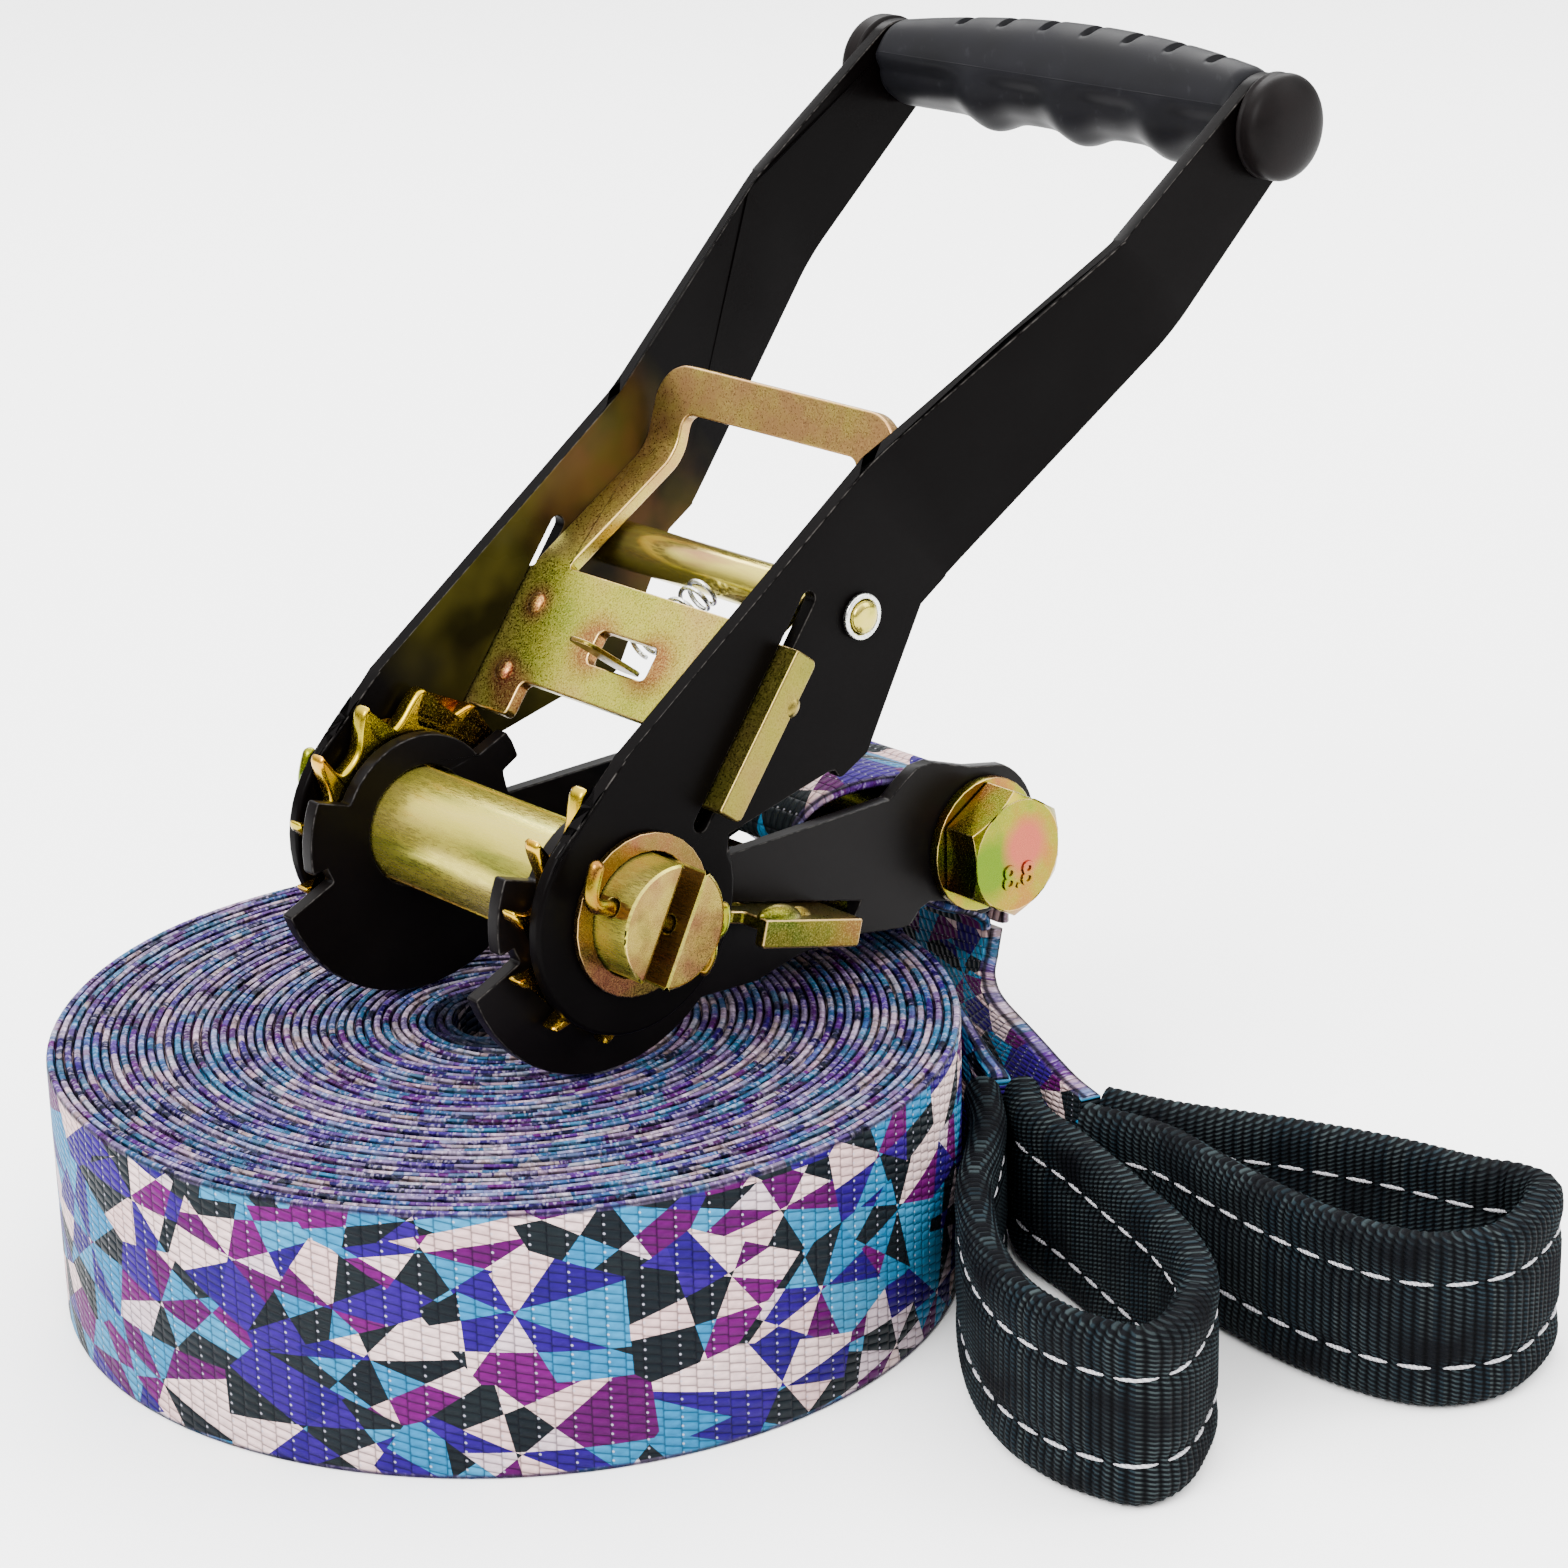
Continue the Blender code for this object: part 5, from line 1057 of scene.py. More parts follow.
# %% Bright zinc, grip and rubber
def bright_zinc():
    finish = Finish("bright_zinc", 1.0)
    grains = finish.noise(finish.places(), 0.35 * MM, 2.0)
    colour = finish.mix(finish.clamp_range(grains, 0.35, 0.65), (168, 170, 168), (226, 226, 220))
    rough = finish.clamp_range(grains, 0.3, 0.7, 0.20, 0.36)
    return finish.finish(Base_Color=colour, Roughness=rough, Normal=finish.bump(grains, 0.02 * MM))


def grip_plastic():
    finish = Finish("charcoal_grip_plastic", Specular_IOR_Level=0.05)
    places = finish.places()
    fine = finish.noise(places, 0.35 * MM, 2.0)
    cloud = finish.noise(places, 12.0 * MM, 3.0)
    scuff = finish.noise(finish.stretched(places, (700.0, 90.0, 400.0)), 1.0, 3.0)
    colour = finish.mix(finish.clamp_range(cloud, 0.3, 0.7), (10, 10, 12), (15, 15, 18))
    colour = finish.mix(finish.clamp_range(scuff, 0.62, 0.75) * 0.10, colour, (60, 60, 64))
    around = finish.split(finish.attribute("strip", "Vector"))[1]
    seam = finish.clamp_range(abs(around), 0.0, 0.014, 1.0, 0.0)
    return finish.finish(Base_Color=colour, Roughness=finish.clamp_range(cloud, 0.3, 0.7, 0.42, 0.54),
                         Normal=finish.bump(fine * 0.15 + seam, 0.06 * MM))


def cap_rubber():
    finish = Finish("cap_rubber", Specular_IOR_Level=0.04)
    fine = finish.noise(finish.places(), 0.4 * MM, 2.0)
    cloud = finish.noise(finish.places(), 7.0 * MM, 3.0)
    colour = finish.mix(finish.clamp_range(cloud, 0.3, 0.7), (10, 8, 8), (15, 12, 12))
    return finish.finish(Base_Color=colour, Roughness=finish.clamp_range(cloud, 0.3, 0.7, 0.38, 0.50),
                         Normal=finish.bump(fine, 0.02 * MM))


BRIGHT_ZINC = bright_zinc()
GRIP_PLASTIC = grip_plastic()
CAP_RUBBER = cap_rubber()
print("finishes so far:", len(bpy.data.materials))

# %% [markdown]
# ## Rounding the pressed parts
#
# The working model has sharp arrises, and real pressed steel has none: a stamped rim is rolled a
# little, a punched corner has a small radius and a bend has a large one. Each metal part is
# therefore copied, its triangles are joined back into flat faces, and three bevels follow: one
# for the corners of the outline, one for the bends across the sheet and one for the rims. An edge
# as long as the sheet is thick is a corner, and a shallow angle across the sheet is a bend.
#
# Very large flat faces next to narrow rounded ones shade badly when all normals are averaged, so
# a Weighted Normal modifier lets the large faces decide. A face with a hole in its middle bevels
# badly too, so the pawls are cut along their middle first and the cut is kept as a seam.

# %% Helpers for rounding
THICKNESS_SLACK = 0.12 * MM


def whole_faces(node, halved=False):
    """A copy of a part's mesh with its loose triangles joined into flat faces."""
    shape = bmesh.new()
    shape.from_mesh(bpy.data.objects[node].data)
    bmesh.ops.remove_doubles(shape, verts=shape.verts, dist=MERGE_DISTANCE)
    if halved:
        everything = shape.verts[:] + shape.edges[:] + shape.faces[:]
        cut = bmesh.ops.bisect_plane(shape, geom=everything, plane_co=RATCHET.translation,
                                     plane_no=OUT_OF_SIDE)
        for part in cut["geom_cut"]:
            if isinstance(part, bmesh.types.BMEdge):
                part.seam = True
    bmesh.ops.dissolve_limit(shape, angle_limit=math.radians(1.0), verts=shape.verts, edges=shape.edges,
                             delimit={"SEAM"})
    return shape


def fold(edge):
    """The angle between an edge's two faces, in degrees."""
    return math.degrees(edge.calc_face_angle(0.0))


def rounded(shape, edges, width, segments):
    """Bevels edges and gives the new faces."""
    if not edges:
        return []
    result = bmesh.ops.bevel(shape, geom=edges, offset=width, offset_type="OFFSET", affect="EDGES",
                             segments=segments, profile=0.5, material=-1, clamp_overlap=False)
    return result["faces"]


def has_room(edge, thickness, width):
    """Whether both faces beside a corner are long enough to take its rounding."""
    return all(face.calc_area() / thickness > 2.1 * width for face in edge.link_faces)


def round_the_corners(shape, thickness, width, segments=4):
    corners = [edge for edge in shape.edges
               if abs(edge.calc_length() - thickness) < THICKNESS_SLACK and fold(edge) > 40.0
               and has_room(edge, thickness, width)]
    rounded(shape, corners, width, segments)


def round_the_bends(shape, thickness, width, segments=5):
    bends = [edge for edge in shape.edges
             if 7.0 < fold(edge) < 50.0 and abs(edge.calc_length() - thickness) > THICKNESS_SLACK
             and edge.calc_length() > 1.15 * thickness]
    rounded(shape, bends, width, segments)


def round_the_rims(shape, width, segments=2, least_fold=30.0):
    # The rims marked here get wear and a painted highlight in the finishes.
    rim_wear_and_highlight = shape.verts.layers.float.new("edge")
    rims = [edge for edge in shape.edges if fold(edge) > least_fold]
    skin = set(rounded(shape, rims, width, segments))
    for face in skin:
        for vert in face.verts:
            if all(other in skin for other in vert.link_faces):
                vert[rim_wear_and_highlight] = 1.0


def pressed(node, thickness, corner_width, bend_width, halved=False):
    """A part pressed from sheet, with its corners and bends rounded and its rims still sharp."""
    shape = whole_faces(node, halved)
    round_the_corners(shape, thickness, corner_width)
    if bend_width:
        round_the_bends(shape, thickness, bend_width)
    return shape


def rounded_part(shape, finish, body, node):
    """The finished copy of a part, shaded so that its large flat faces decide."""
    piece = finished_object(f"{node}_rounded", shape, finish, 50.0)
    weighting = piece.modifiers.new("flat faces decide", "WEIGHTED_NORMAL")
    weighting.keep_sharp = True
    weighting.weight = 80
    return place_on(piece, body, node)


print("loose triangles to faces, base plate:", len(whole_faces("base_plate_front").faces))

# %% [markdown]
# ## The plates
#
# The base plates are flat. The handle plates are joggled outwards half way up, so that the hand
# has room, and the two bends of that joggle are broad and soft.

# %% Plates
PLATE_THICKNESS = 3.0 * MM
PLATE_RIM = 0.38 * MM
COATS = {"handle_plate_front": HANDLE_COAT, "handle_plate_back": PAWL_REFLECTION_COAT}


def make_plate(node, body, corner_width, bend_width):
    shape = pressed(node, PLATE_THICKNESS, corner_width, bend_width)
    round_the_rims(shape, PLATE_RIM)
    piece = rounded_part(shape, COATS.get(node, BASE_COAT_WITH_PAINTED_SHEEN), body, node)
    return len(piece.data.polygons)


for side in ("front", "back"):
    print("base plate faces:", make_plate(f"base_plate_{side}", "base", 0.5 * MM, 0.0))
    print("handle plate faces:", make_plate(f"handle_plate_{side}", "handle", 0.8 * MM, 5.0 * MM))

# %% [markdown]
# ## The wheels
#
# The teeth are hooked and tumbled smooth. One tooth is nine places, each a share of the tooth's
# angle and of its height, and a smooth path leads through all twelve teeth. The rim is rounded
# over by drawing the outline in along its own normal near both faces.

# %% Ratchet wheels
WHEEL_TEETH = 12
WHEEL_TIP_RADIUS = 25.0 * MM
WHEEL_ROOT_RADIUS = 18.8 * MM
WHEEL_GAP_DEGREES = 41.0
WHEEL_MIDDLE_Z = 31.5 * MM
WHEEL_RIM = (
    (0.75, -1.9), (0.32, -1.72), (0.08, -1.35), (0.0, -0.8),
    (0.0, 0.8), (0.08, 1.35), (0.32, 1.72), (0.75, 1.9),
)
TOOTH_SHARES = (
    (-0.200, 0.00), (0.000, -0.05), (0.215, 0.03), (0.262, 0.30), (0.218, 0.72),
    (0.195, 1.00), (0.315, 0.95), (0.450, 0.62), (0.620, 0.22),
)
TOOTH_PARTS = 5


def tooth_outline():
    """Places round the wheel and the direction of the outline at each."""
    points = []
    for n in range(-1, WHEEL_TEETH + 2):
        for angle_share, height_share in TOOTH_SHARES:
            angle = math.radians(WHEEL_GAP_DEGREES + 360.0 / WHEEL_TEETH * (n + angle_share))
            reach = WHEEL_ROOT_RADIUS + (WHEEL_TIP_RADIUS - WHEEL_ROOT_RADIUS) * height_share
            points.append((reach * math.cos(angle), reach * math.sin(angle), 0.0))
    spots = Path(points, TOOTH_PARTS).spots
    first = len(TOOTH_SHARES) * TOOTH_PARTS
    last = first * (WHEEL_TEETH + 1)
    return [(spots[n], (spots[n + 1] - spots[n - 1]).normalized()) for n in range(first, last + 1)]


def make_wheel(side, middle):
    outline = tooth_outline()
    shape = bmesh.new()
    rows, columns = len(outline) - 1, len(WHEEL_RIM) - 1
    bmesh.ops.create_grid(shape, x_segments=rows, y_segments=columns, size=1.0)
    for vert in shape.verts:
        spot, ahead = outline[grid_row(vert.co.x, rows)]
        inset, z = WHEEL_RIM[grid_row(vert.co.y, columns)]
        inward = Vector((-ahead.y, ahead.x, 0.0))
        vert.co = RATCHET @ (spot + inward * inset * MM + Vector((0.0, 0.0, middle + z * MM)))
    close_up(shape)
    return rounded_part(shape, WHEEL_ZINC, "spindle", f"ratchet_wheel_{side}")


for side, sign in SIDES:
    print("faces in a wheel:", len(make_wheel(side, sign * WHEEL_MIDDLE_Z).data.polygons))

# %% [markdown]
# ## Spindle and fasteners
#
# These are thick parts without bends, so only their rims are rounded. The cross rod is turned: its
# half profile is drawn once and spun round.

# %% Spindle and fasteners
PAIRED_PARTS = (
    ("spindle_washer", "spindle", WASHER_ZINC, 0.20 * MM),
    ("anchor_washer", "base", FASTENER_ZINC, 0.25 * MM),
    ("rivet_ring", "handle", BRIGHT_ZINC, 0.32 * MM, 3),
)
SINGLE_PARTS = (
    ("spindle_half_upper", "spindle", SPINDLE_ZINC, 0.35 * MM),
    ("spindle_half_lower", "spindle", SPINDLE_ZINC, 0.35 * MM),
    ("anchor_bolt", "base", BOLT_ZINC, 0.22 * MM),
    ("anchor_nut", "base", FASTENER_ZINC, 0.22 * MM),
    ("lock_spring_stay", "base", FASTENER_ZINC, 0.25 * MM),
    ("anchor_spacer_tube", "base", FASTENER_ZINC, 0.25 * MM),
    ("grip_rod", "handle", BRIGHT_ZINC, 0.25 * MM),
)
CROSS_ROD_PLACE = (53.7, 42.4)
CROSS_ROD_RADIUS = 4.6 * MM
CROSS_ROD_END_RADIUS = 3.0 * MM
CROSS_ROD_SHOULDER = 33.8 * MM


def make_solid(node, body, finish, rim, segments=2):
    shape = whole_faces(node)
    round_the_rims(shape, rim, segments)
    return rounded_part(shape, finish, body, node)


def spun(name, profile, place, finish, steps=64):
    """A half profile of (radius, height) points turned once round its axis."""
    shape = bmesh.new()
    verts = [shape.verts.new((radius, 0.0, height)) for radius, height in profile]
    edges = [shape.edges.new(pair) for pair in zip(verts, verts[1:])]
    bmesh.ops.spin(shape, geom=verts + edges, cent=(0.0, 0.0, 0.0), axis=(0.0, 0.0, 1.0),
                   angle=2.0 * math.pi, steps=steps, use_merge=True)
    bmesh.ops.remove_doubles(shape, verts=shape.verts, dist=MERGE_DISTANCE)
    bmesh.ops.transform(shape, matrix=place, verts=shape.verts)
    return finished_object(name, shape, finish, 60.0)


def make_cross_rod():
    vertices = bpy.data.objects["cross_rod"].data.vertices
    reach = max(abs((RATCHET.inverted() @ vert.co).z) for vert in vertices)
    body, end, shoulder = CROSS_ROD_RADIUS, CROSS_ROD_END_RADIUS, CROSS_ROD_SHOULDER
    half = [(0.0, reach), (end * 0.6, reach), (end * 0.92, reach - 0.25 * MM), (end, reach - 0.6 * MM),
            (end, shoulder), (body - 0.5 * MM, shoulder), (body - 0.12 * MM, shoulder - 0.15 * MM),
            (body, shoulder - 0.5 * MM)]
    profile = half + [(radius, -height) for radius, height in half[::-1]]
    place = RATCHET @ Matrix.Translation(Vector((*CROSS_ROD_PLACE, 0.0)) * MM)
    rod = spun("cross_rod_turned", profile, place, ROD_ZINC)
    return place_on(rod, "handle", "cross_rod")


made = [make_solid(*part) for part in SINGLE_PARTS] + [make_cross_rod()]
for kind, *settings in PAIRED_PARTS:
    made += [make_solid(f"{kind}_{side}", *settings) for side in ("front", "back")]
print("solid parts:", len(made))

# %% [markdown]
# The strength grade on the bolt's head stands a little proud of its face. It is a text curve that
# is made a mesh first and then carried there.

# %% Strength grade on the bolt
def make_bolt_grade():
    curve = bpy.data.curves.new("bolt_grade_text", "FONT")
    curve.body = "8.8"
    curve.size = 6.8 * MM
    curve.align_x = "CENTER"
    curve.align_y = "CENTER"
    curve.offset = 0.03 * MM
    curve.extrude = 0.28 * MM
    curve.bevel_depth = 0.10 * MM
    text = bpy.data.objects.new("bolt_grade_text", curve)
    bpy.context.scene.collection.objects.link(text)
    bpy.context.view_layer.update()
    mesh = bpy.data.meshes.new_from_object(text.evaluated_get(bpy.context.evaluated_depsgraph_get()))
    bpy.data.objects.remove(text)
    shape = bmesh.new()
    shape.from_mesh(mesh)
    bmesh.ops.remove_doubles(shape, verts=shape.verts, dist=MERGE_DISTANCE)
    spot = Matrix.Translation(Vector((BOLT_X, BOLT_Y - 4.4, BOLT_FACE_Z)) * MM)
    bmesh.ops.transform(shape, matrix=RATCHET @ spot @ about_z(-3.0), verts=shape.verts)
    piece = finished_object("bolt_grade", shape, BOLT_ZINC)
    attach(piece, "base")
    return piece


print("faces in the bolt's grade:", len(make_bolt_grade().data.polygons))

# %% [markdown]
# ## The pawls
#
# Both pawls are bent sheet. The drive pawl's bends are the softest of all, for the sheet there is
# pulled by the fingers. It also has round dimples, pressed in from below to stiffen it next to
# the plates, and each pawl has small swellings on its wings where the press gripped it. A dimple
# is a ball flattened on one axis and sunk half way into the sheet.

# %% Pawls
DRIVE_THICKNESS = 2.6 * MM
LOCK_THICKNESS = 2.4 * MM
PAWL_RIM = 0.42 * MM
GUIDE_MIDDLE = (41.2, 0.4, 0.0)
GUIDE_SIZE = (0.9, 15.6, 7.0)
GUIDE_CORNER = 2.4 * MM
DRIVE_DIMPLES = (
    ((47.4, -3.1, 28.0), (2.1, 0.9, 2.1)), ((33.3, -3.1, 28.0), (2.1, 0.9, 2.1)),
    ((44.7, -8.2, 40.6), (2.2, 1.7, 1.5)),
)
LOCK_DIMPLES = (((33.6, -1.2, 37.6), (5.2, 2.7, 2.2)), ((39.6, -1.4, 35.9), (3.4, 2.0, 1.4)))


def make_pawl(node, thickness, finish, corner_width, bend_width):
    shape = pressed(node, thickness, corner_width, bend_width, halved=True)
    round_the_rims(shape, PAWL_RIM, 3)
    return rounded_part(shape, finish, node, node)


def make_dimples(name, body, turn_degrees, dimples, finish):
    shape = bmesh.new()
    turned = RATCHET @ about_z(turn_degrees)
    for (x, y, z), size in dimples:
        flattened = Matrix.Diagonal((*(Vector(size) * MM), 1.0))
        for side in (1.0, -1.0):
            spot = Matrix.Translation(Vector((x, y, side * z)) * MM) @ flattened
            bmesh.ops.create_uvsphere(
                shape, u_segments=28, v_segments=16, radius=1.0, matrix=turned @ spot)
    piece = finished_object(name, shape, finish, 80.0)
    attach(piece, body)
    return len(dimples) * 2


def make_guide():
    """The thin strip that stands in the pawl's slot, nearly edge on to the camera."""
    shape = bmesh.new()
    bmesh.ops.create_cube(shape, size=1.0)
    size = Matrix.Diagonal((*(Vector(GUIDE_SIZE) * MM), 1.0))
    turned = RATCHET @ about_z(DRIVE_DEGREES) @ Matrix.Translation(Vector(GUIDE_MIDDLE) * MM)
    bmesh.ops.transform(shape, matrix=turned @ size, verts=shape.verts)
    corners = [edge for edge in shape.edges if edge.calc_length() < 1.0 * MM]
    rounded(shape, corners, GUIDE_CORNER, 5)
    round_the_rims(shape, 0.2 * MM, 2)
    return rounded_part(shape, LOCK_ZINC, "drive_pawl", "spring_guide")


make_pawl("drive_pawl", DRIVE_THICKNESS, PAWL_ZINC, 1.3 * MM, 3.2 * MM)
make_pawl("lock_pawl", LOCK_THICKNESS, LOCK_ZINC, 0.8 * MM, 0.0)
make_guide()
print("drive pawl's dimples:", make_dimples(
    "drive_pawl_dimples", "drive_pawl", DRIVE_DEGREES, DRIVE_DIMPLES, PAWL_ZINC))
print("lock pawl's swellings:", make_dimples(
    "lock_pawl_dimples", "lock_pawl", LOCK_DEGREES, LOCK_DIMPLES, LOCK_ZINC))

# %% [markdown]
# ## Springs
#
# A compression spring is a helix of round wire. Its last curls lie closer together than the
# middle ones, because the ends of a real spring are closed. Each spring sits between a pawl, which
# slides, and a piece that stays; here it is swept once between its two seats.

# %% Springs
SPRING_WIRE_RADIUS = 0.45 * MM
SPRING_STEPS = 26
SPRING_SIDES = 10
SPRING_SEAT = 3.6 * MM
SPRING_GAP = 0.3 * MM
SPRING_CLOSING = 0.5
DRIVE_SPRING_RADIUS, DRIVE_SPRING_CURLS = 2.9 * MM, 6
LOCK_SPRING_RADIUS, LOCK_SPRING_CURLS = 4.2 * MM, 7


def make_spring(name, node, start, end, radius, curls):
    along = end - start
    reach = along.length - 2.0 * SPRING_WIRE_RADIUS
    axis = along.normalized()
    one = axis.cross(Vector((0.0, 0.0, 1.0))).normalized()
    two = axis.cross(one)

    def middle(share):
        angle = 2.0 * math.pi * curls * share
        rise = share - SPRING_CLOSING * math.sin(2.0 * math.pi * share) / (2.0 * math.pi)
        outward = one * math.cos(angle) + two * math.sin(angle)
        return start + axis * (SPRING_WIRE_RADIUS + reach * rise) + outward * radius, outward

    def place(share, ring_angle):
        spot, outward = middle(share)
        ahead = (middle(share + 0.001)[0] - middle(share - 0.001)[0]).normalized()
        side = ahead.cross(outward)
        out = outward * math.cos(ring_angle) + side * math.sin(ring_angle)
        return RATCHET @ (spot + out * SPRING_WIRE_RADIUS), Vector((share, ring_angle, 0.0))

    stations = [n / (curls * SPRING_STEPS) for n in range(curls * SPRING_STEPS + 1)]
    spring = swept(name, stations, all_round(SPRING_SIDES), place, BRIGHT_ZINC)
    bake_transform(spring)
    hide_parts(node)
    return along.length


def turned_point(x, y, degrees):
    return about_z(degrees) @ (Vector((x, y, 0.0)) * MM)


CROSS_ROD = turned_point(*CROSS_ROD_PLACE, 0.0)
GUIDE_START = turned_point(43.0, -4.4, DRIVE_DEGREES)
GUIDE_LINE = (CROSS_ROD - GUIDE_START).normalized()
SPRING_START = GUIDE_START + GUIDE_LINE * SPRING_SEAT
SPRING_END = CROSS_ROD - GUIDE_LINE * (CROSS_ROD_RADIUS + SPRING_GAP)
LOCK_SPRING_START = turned_point(40.8, -2.1, LOCK_DEGREES)
LOCK_SPRING_END = turned_point(62.9, -2.1, LOCK_DEGREES)
DRIVE_SPRING_LENGTH = make_spring(
    "drive_spring", "drive_pawl_spring", SPRING_START, SPRING_END, DRIVE_SPRING_RADIUS,
    DRIVE_SPRING_CURLS)
LOCK_SPRING_LENGTH = make_spring(
    "lock_spring", "lock_pawl_spring", LOCK_SPRING_START, LOCK_SPRING_END, LOCK_SPRING_RADIUS,
    LOCK_SPRING_CURLS)
print("springs in mm:", round(DRIVE_SPRING_LENGTH / MM, 1), round(LOCK_SPRING_LENGTH / MM, 1))

# %% [markdown]
# ## Split pins
#
# A split pin goes through each end of the spindle. One end is bent over flat against the bar, and
# the two legs at the other end are spread apart. Each is a short round bar swept along a path
# through listed points, and its ends are rounded over by drawing the section in.

# %% Split pins
PIN_Z = 42.0
PIN_RADIUS = 1.4 * MM
PIN_LEG_RADIUS = 1.15 * MM
PIN_SIDES = 14
PIN_STEP = 0.5 * MM
PIN_BAR = (
    (-12.4, 14.6), (-13.6, 11.6), (-14.3, 8.6), (-13.7, 6.6), (-11.6, 5.7), (-6.0, 3.2), (0.0, 0.0),
    (6.0, -3.2), (11.4, -6.1),
)
PIN_LEGS = (
    ("up", 0.6, ((9.6, -5.0), (12.4, -6.2), (14.3, -5.2), (14.9, -2.8), (14.6, -0.4))),
    ("down", -0.6, ((9.8, -5.4), (12.3, -7.2), (12.7, -9.6), (11.6, -11.8), (10.0, -13.4))),
)


def add_bar(name, points, radius, z):
    path = Path([(x * MM, y * MM, z * MM) for x, y in points], 10)

    def place(distance, ring_angle):
        from_end = min(distance, path.length - distance) / radius
        draw_in = math.sqrt(max(0.04, 1.0 - max(0.0, 1.0 - from_end) ** 2))
        middle, ahead = path.at(distance)
        reach = radius * draw_in
        spot = middle + sideways(ahead) * math.cos(ring_angle) * reach + UP * math.sin(ring_angle) * reach
        return RATCHET @ spot, Vector((distance, ring_angle, 0.0))

    ends = [radius * share for share in (0.0, 0.05, 0.2, 0.45, 0.75)]
    middle = [PIN_STEP * n for n in range(3, int((path.length - 1.4 * MM) / PIN_STEP))]
    stations = ends + middle + [path.length - distance for distance in ends[::-1]]
    return swept(name, stations, all_round(PIN_SIDES), place, FASTENER_ZINC)


for side, sign in SIDES:
    bar = add_bar(f"split_pin_{side}", PIN_BAR, PIN_RADIUS, sign * PIN_Z)
    place_on(bar, "spindle", f"cotter_pin_{side}")
    for leg, lift, points in PIN_LEGS:
        piece = add_bar(f"split_pin_leg_{leg}_{side}", points, PIN_LEG_RADIUS, sign * (PIN_Z + lift))
        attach(piece, "spindle")
    print("faces in a split pin's bar:", len(bar.data.polygons))

# %% [markdown]
# ## The grip
#
# The grip is one moulding over the handle's rod: an arched back with seven short notches across it,
# and four hollows for the fingers on the other side, with a soft crest where each hollow bites into
# the flat face. It is one section swept along the rod. The section is a squared oval, leaning a
# little on the rod, and the formula for it changes on the way.

# %% Grip
GRIP_X, GRIP_Y = 188.5 * MM, 14.0 * MM
GRIP_STEPS, GRIP_SIDES = 360, 96
GRIP_HALF_LENGTH = 47.6 * MM
GRIP_LEAN_DEGREES = 18.0
GRIP_BACK_MIDDLE = 13.5 * MM
GRIP_BACK_END = 8.4 * MM
GRIP_ARCH_MIDDLE = 2.5 * MM
GRIP_FINGER_REACH = 9.2 * MM
GRIP_HALF_WIDTH = 9.5 * MM
GRIP_SQUARENESS = 2.7
GRIP_END_ROUND = 2.6 * MM
FINGER_PITCH = 24.3 * MM
FINGER_MIDDLE = 4.6 * MM
HOLLOW_DEPTH = 2.2 * MM
NOTCHES = 7
NOTCH_PITCH = 11.1 * MM
NOTCH_MIDDLE = 4.6 * MM
NOTCH_WIDTH = 3.0 * MM
NOTCH_DEPTH = 1.5 * MM


def squared(value):
    return math.copysign(abs(value) ** (2.0 / GRIP_SQUARENESS), value)


def eased(value, low, high):
    share = min(1.0, max(0.0, (value - low) / (high - low)))
    return share * share * (3.0 - 2.0 * share)


def notch_depth(z, across):
    """Deepest at one end of each notch and running out at the other, and only over the back."""
    place = z - NOTCH_MIDDLE
    nearest = NOTCH_PITCH * max(-(NOTCHES // 2), min(NOTCHES // 2, round(place / NOTCH_PITCH)))
    into = (place - nearest) / NOTCH_WIDTH + 0.5
    if not 0.0 < into < 1.0:
        return 0.0
    return NOTCH_DEPTH * eased(into, 0.0, 0.22) * eased(1.0 - into, 0.0, 0.8) * eased(across, 0.60, 0.78)


def grip_point(z, angle):
    part = (z - GRIP_ARCH_MIDDLE) / (GRIP_HALF_LENGTH + GRIP_ARCH_MIDDLE)
    past = max(0.0, (abs(z) - (GRIP_HALF_LENGTH - GRIP_END_ROUND)) / GRIP_END_ROUND)
    draw_in = GRIP_END_ROUND * 0.55 * (1.0 - math.sqrt(max(0.0, 1.0 - past * past)))
    across = squared(math.cos(angle))
    aside = squared(math.sin(angle)) * GRIP_HALF_WIDTH
    if across > 0.0:
        reach = across * (GRIP_BACK_END + (GRIP_BACK_MIDDLE - GRIP_BACK_END) * (1.0 - part * part))
        depth = notch_depth(z, across)
    else:
        aside *= 1.0 - 0.14 * across * across
        reach = across * GRIP_FINGER_REACH
        waves = (z - FINGER_MIDDLE) / FINGER_PITCH
        hollow = eased(abs(math.sin(math.pi * waves)), 0.0, 1.0) if abs(waves) < 1.5 else 1.0
        depth = HOLLOW_DEPTH * hollow * eased(-across, 0.18, 0.62)
    section = Vector((reach, aside, 0.0))
    section *= 1.0 - (depth + draw_in) / section.length
    spot = about_z(HANDLE_DEGREES) @ (Vector((GRIP_X, GRIP_Y, z)) + about_z(GRIP_LEAN_DEGREES) @ section)
    return RATCHET @ spot, Vector((z, math.cos(angle) + 0.10, 0.0))


def make_grip():
    stations = [GRIP_HALF_LENGTH * (2.0 * n / GRIP_STEPS - 1.0) for n in range(GRIP_STEPS + 1)]
    grip = swept("moulded_grip", stations, all_round(GRIP_SIDES), grip_point, GRIP_PLASTIC)
    return place_on(grip, "handle", "grip")


print("grip faces:", len(make_grip().data.polygons))

# %% [markdown]
# ## Caps
#
# A rubber cap is pushed over each end of the rod. It is a turned shape, so its half profile is
# drawn once and spun round: a short wall with a bead at its foot, and a low dome.

# %% Caps
CAP_RADIUS = 10.0 * MM
CAP_FOOT = 51.2 * MM
CAP_WALL = 2.7 * MM
CAP_HEIGHT = 6.8 * MM
DOME_SQUARENESS = 2.5
DOME_STEPS = 14


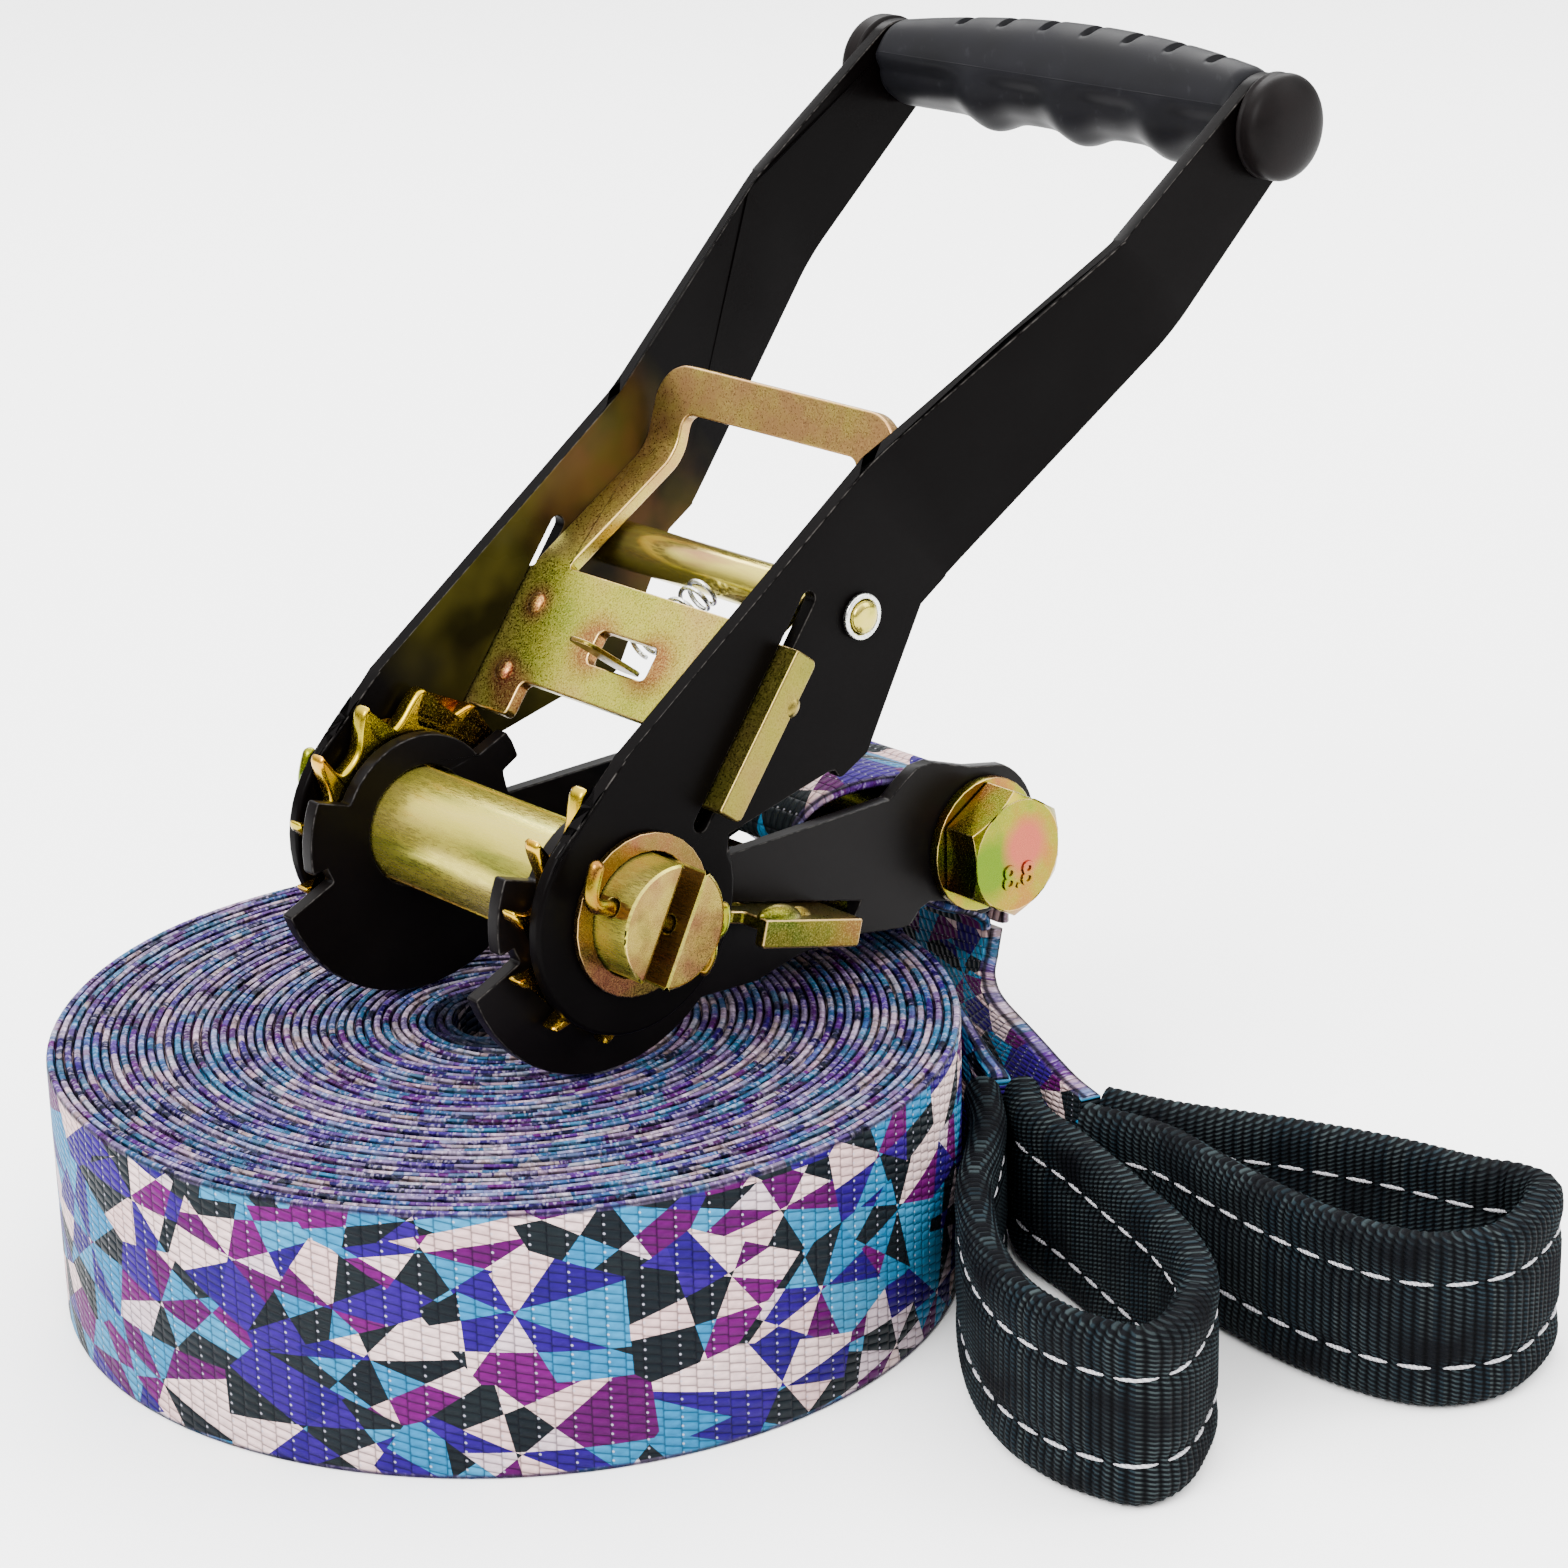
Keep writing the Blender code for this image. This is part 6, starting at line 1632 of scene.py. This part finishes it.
def cap_profile():
    dome = []
    for n in range(DOME_STEPS + 1):
        angle = math.radians(90.0 * n / DOME_STEPS)
        radius = CAP_RADIUS * math.sin(angle) ** (2.0 / DOME_SQUARENESS)
        rise = max(0.0, math.cos(angle)) ** (2.0 / DOME_SQUARENESS)
        height = CAP_WALL + (CAP_HEIGHT - CAP_WALL) * rise
        dome.append((radius, height))
    bead = [(CAP_RADIUS - 0.25 * MM, 1.3 * MM), (CAP_RADIUS - 0.25 * MM, 0.9 * MM), (CAP_RADIUS, 0.6 * MM),
            (CAP_RADIUS, 0.25 * MM), (CAP_RADIUS - 0.3 * MM, 0.0), (0.0, 0.0)]
    return dome + bead


def make_caps():
    spot = about_z(HANDLE_DEGREES) @ Vector((GRIP_X, GRIP_Y, 0.0))
    foot = Matrix.Translation((0.0, 0.0, CAP_FOOT))
    for side, flip in (("front", 0.0), ("back", math.pi)):
        place = RATCHET @ Matrix.Translation(spot) @ Matrix.Rotation(flip, 4, "X") @ foot
        cap = spun(f"rubber_cap_{side}", cap_profile(), place, CAP_RUBBER)
        place_on(cap, "handle", f"grip_cap_{side}")


make_caps()
print("points in a cap's profile:", len(cap_profile()))

# %% [markdown]
# ## Floor and light
#
# Polished and plated metal shows what is round it, so the studio matters more than the lamps: a
# bright ceiling, walls that fall off towards the horizon, and a pale floor. The sky is a ramp over
# height. Three large soft panels add direction: a strong one high on the left, a weak one on the
# right and one behind.

# %% Floor and light
SKY_STRENGTH = 2.3
SKY = ((0.50, 0.18), (0.60, 0.35), (0.74, 1.10), (0.90, 2.2), (1.00, 2.6))


def make_floor():
    shape = bmesh.new()
    bmesh.ops.create_grid(shape, x_segments=1, y_segments=1, size=6.0)
    finish = Finish("pale_floor", Roughness=0.7, Specular_IOR_Level=0.2)
    floor = finished_object("floor", shape, finish.finish(Base_Color=(0.92, 0.92, 0.92, 1.0)))
    floor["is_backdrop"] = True


def make_panel(name, place, aim, size, power):
    light = bpy.data.lights.new(name, "AREA")
    light.shape = "RECTANGLE"
    light.size, light.size_y = size
    light.energy = power
    holder = bpy.data.objects.new(name, light)
    bpy.context.scene.collection.objects.link(holder)
    holder.location = place
    holder.rotation_mode = "QUATERNION"
    holder.rotation_quaternion = (Vector(aim) - Vector(place)).to_track_quat("-Z", "Y")


def make_sky():
    world = bpy.data.worlds.new("studio")
    world.use_nodes = True
    tree = world.node_tree
    height = tree.nodes.new("ShaderNodeSeparateXYZ")
    tree.links.new(tree.nodes.new("ShaderNodeTexCoord").outputs["Generated"], height.inputs[0])
    share = tree.nodes.new("ShaderNodeMapRange")
    share.inputs["From Min"].default_value = -1.0
    tree.links.new(height.outputs["Z"], share.inputs["Value"])
    ramp = tree.nodes.new("ShaderNodeValToRGB")
    tree.links.new(share.outputs[0], ramp.inputs["Fac"])
    for _ in SKY[2:]:
        ramp.color_ramp.elements.new(0.5)
    for element, (place, value) in zip(ramp.color_ramp.elements, SKY):
        element.position = place
        element.color = (value, value, value, 1.0)
    background = tree.nodes["Background"]
    tree.links.new(ramp.outputs[0], background.inputs["Color"])
    background.inputs["Strength"].default_value = SKY_STRENGTH
    bpy.context.scene.world = world


make_floor()
make_panel("left_panel", (-0.7, -0.9, 1.1), (0.0, 0.0, 0.08), (0.8, 0.8), 42.0)
make_panel("right_panel", (1.0, -0.1, 0.7), (0.0, 0.0, 0.08), (0.5, 0.9), 10.0)
make_panel("back_panel", (0.1, 1.1, 1.1), (0.0, 0.1, 0.1), (1.2, 0.5), 24.0)
make_sky()
print("steps in the sky:", len(SKY))

# %% Size and the end
dressed_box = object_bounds()
for corner, dressed in zip(frame_box, dressed_box):
    print("frame", [round(v / MM, 1) for v in corner], "dressed", [round(v / MM, 1) for v in dressed])
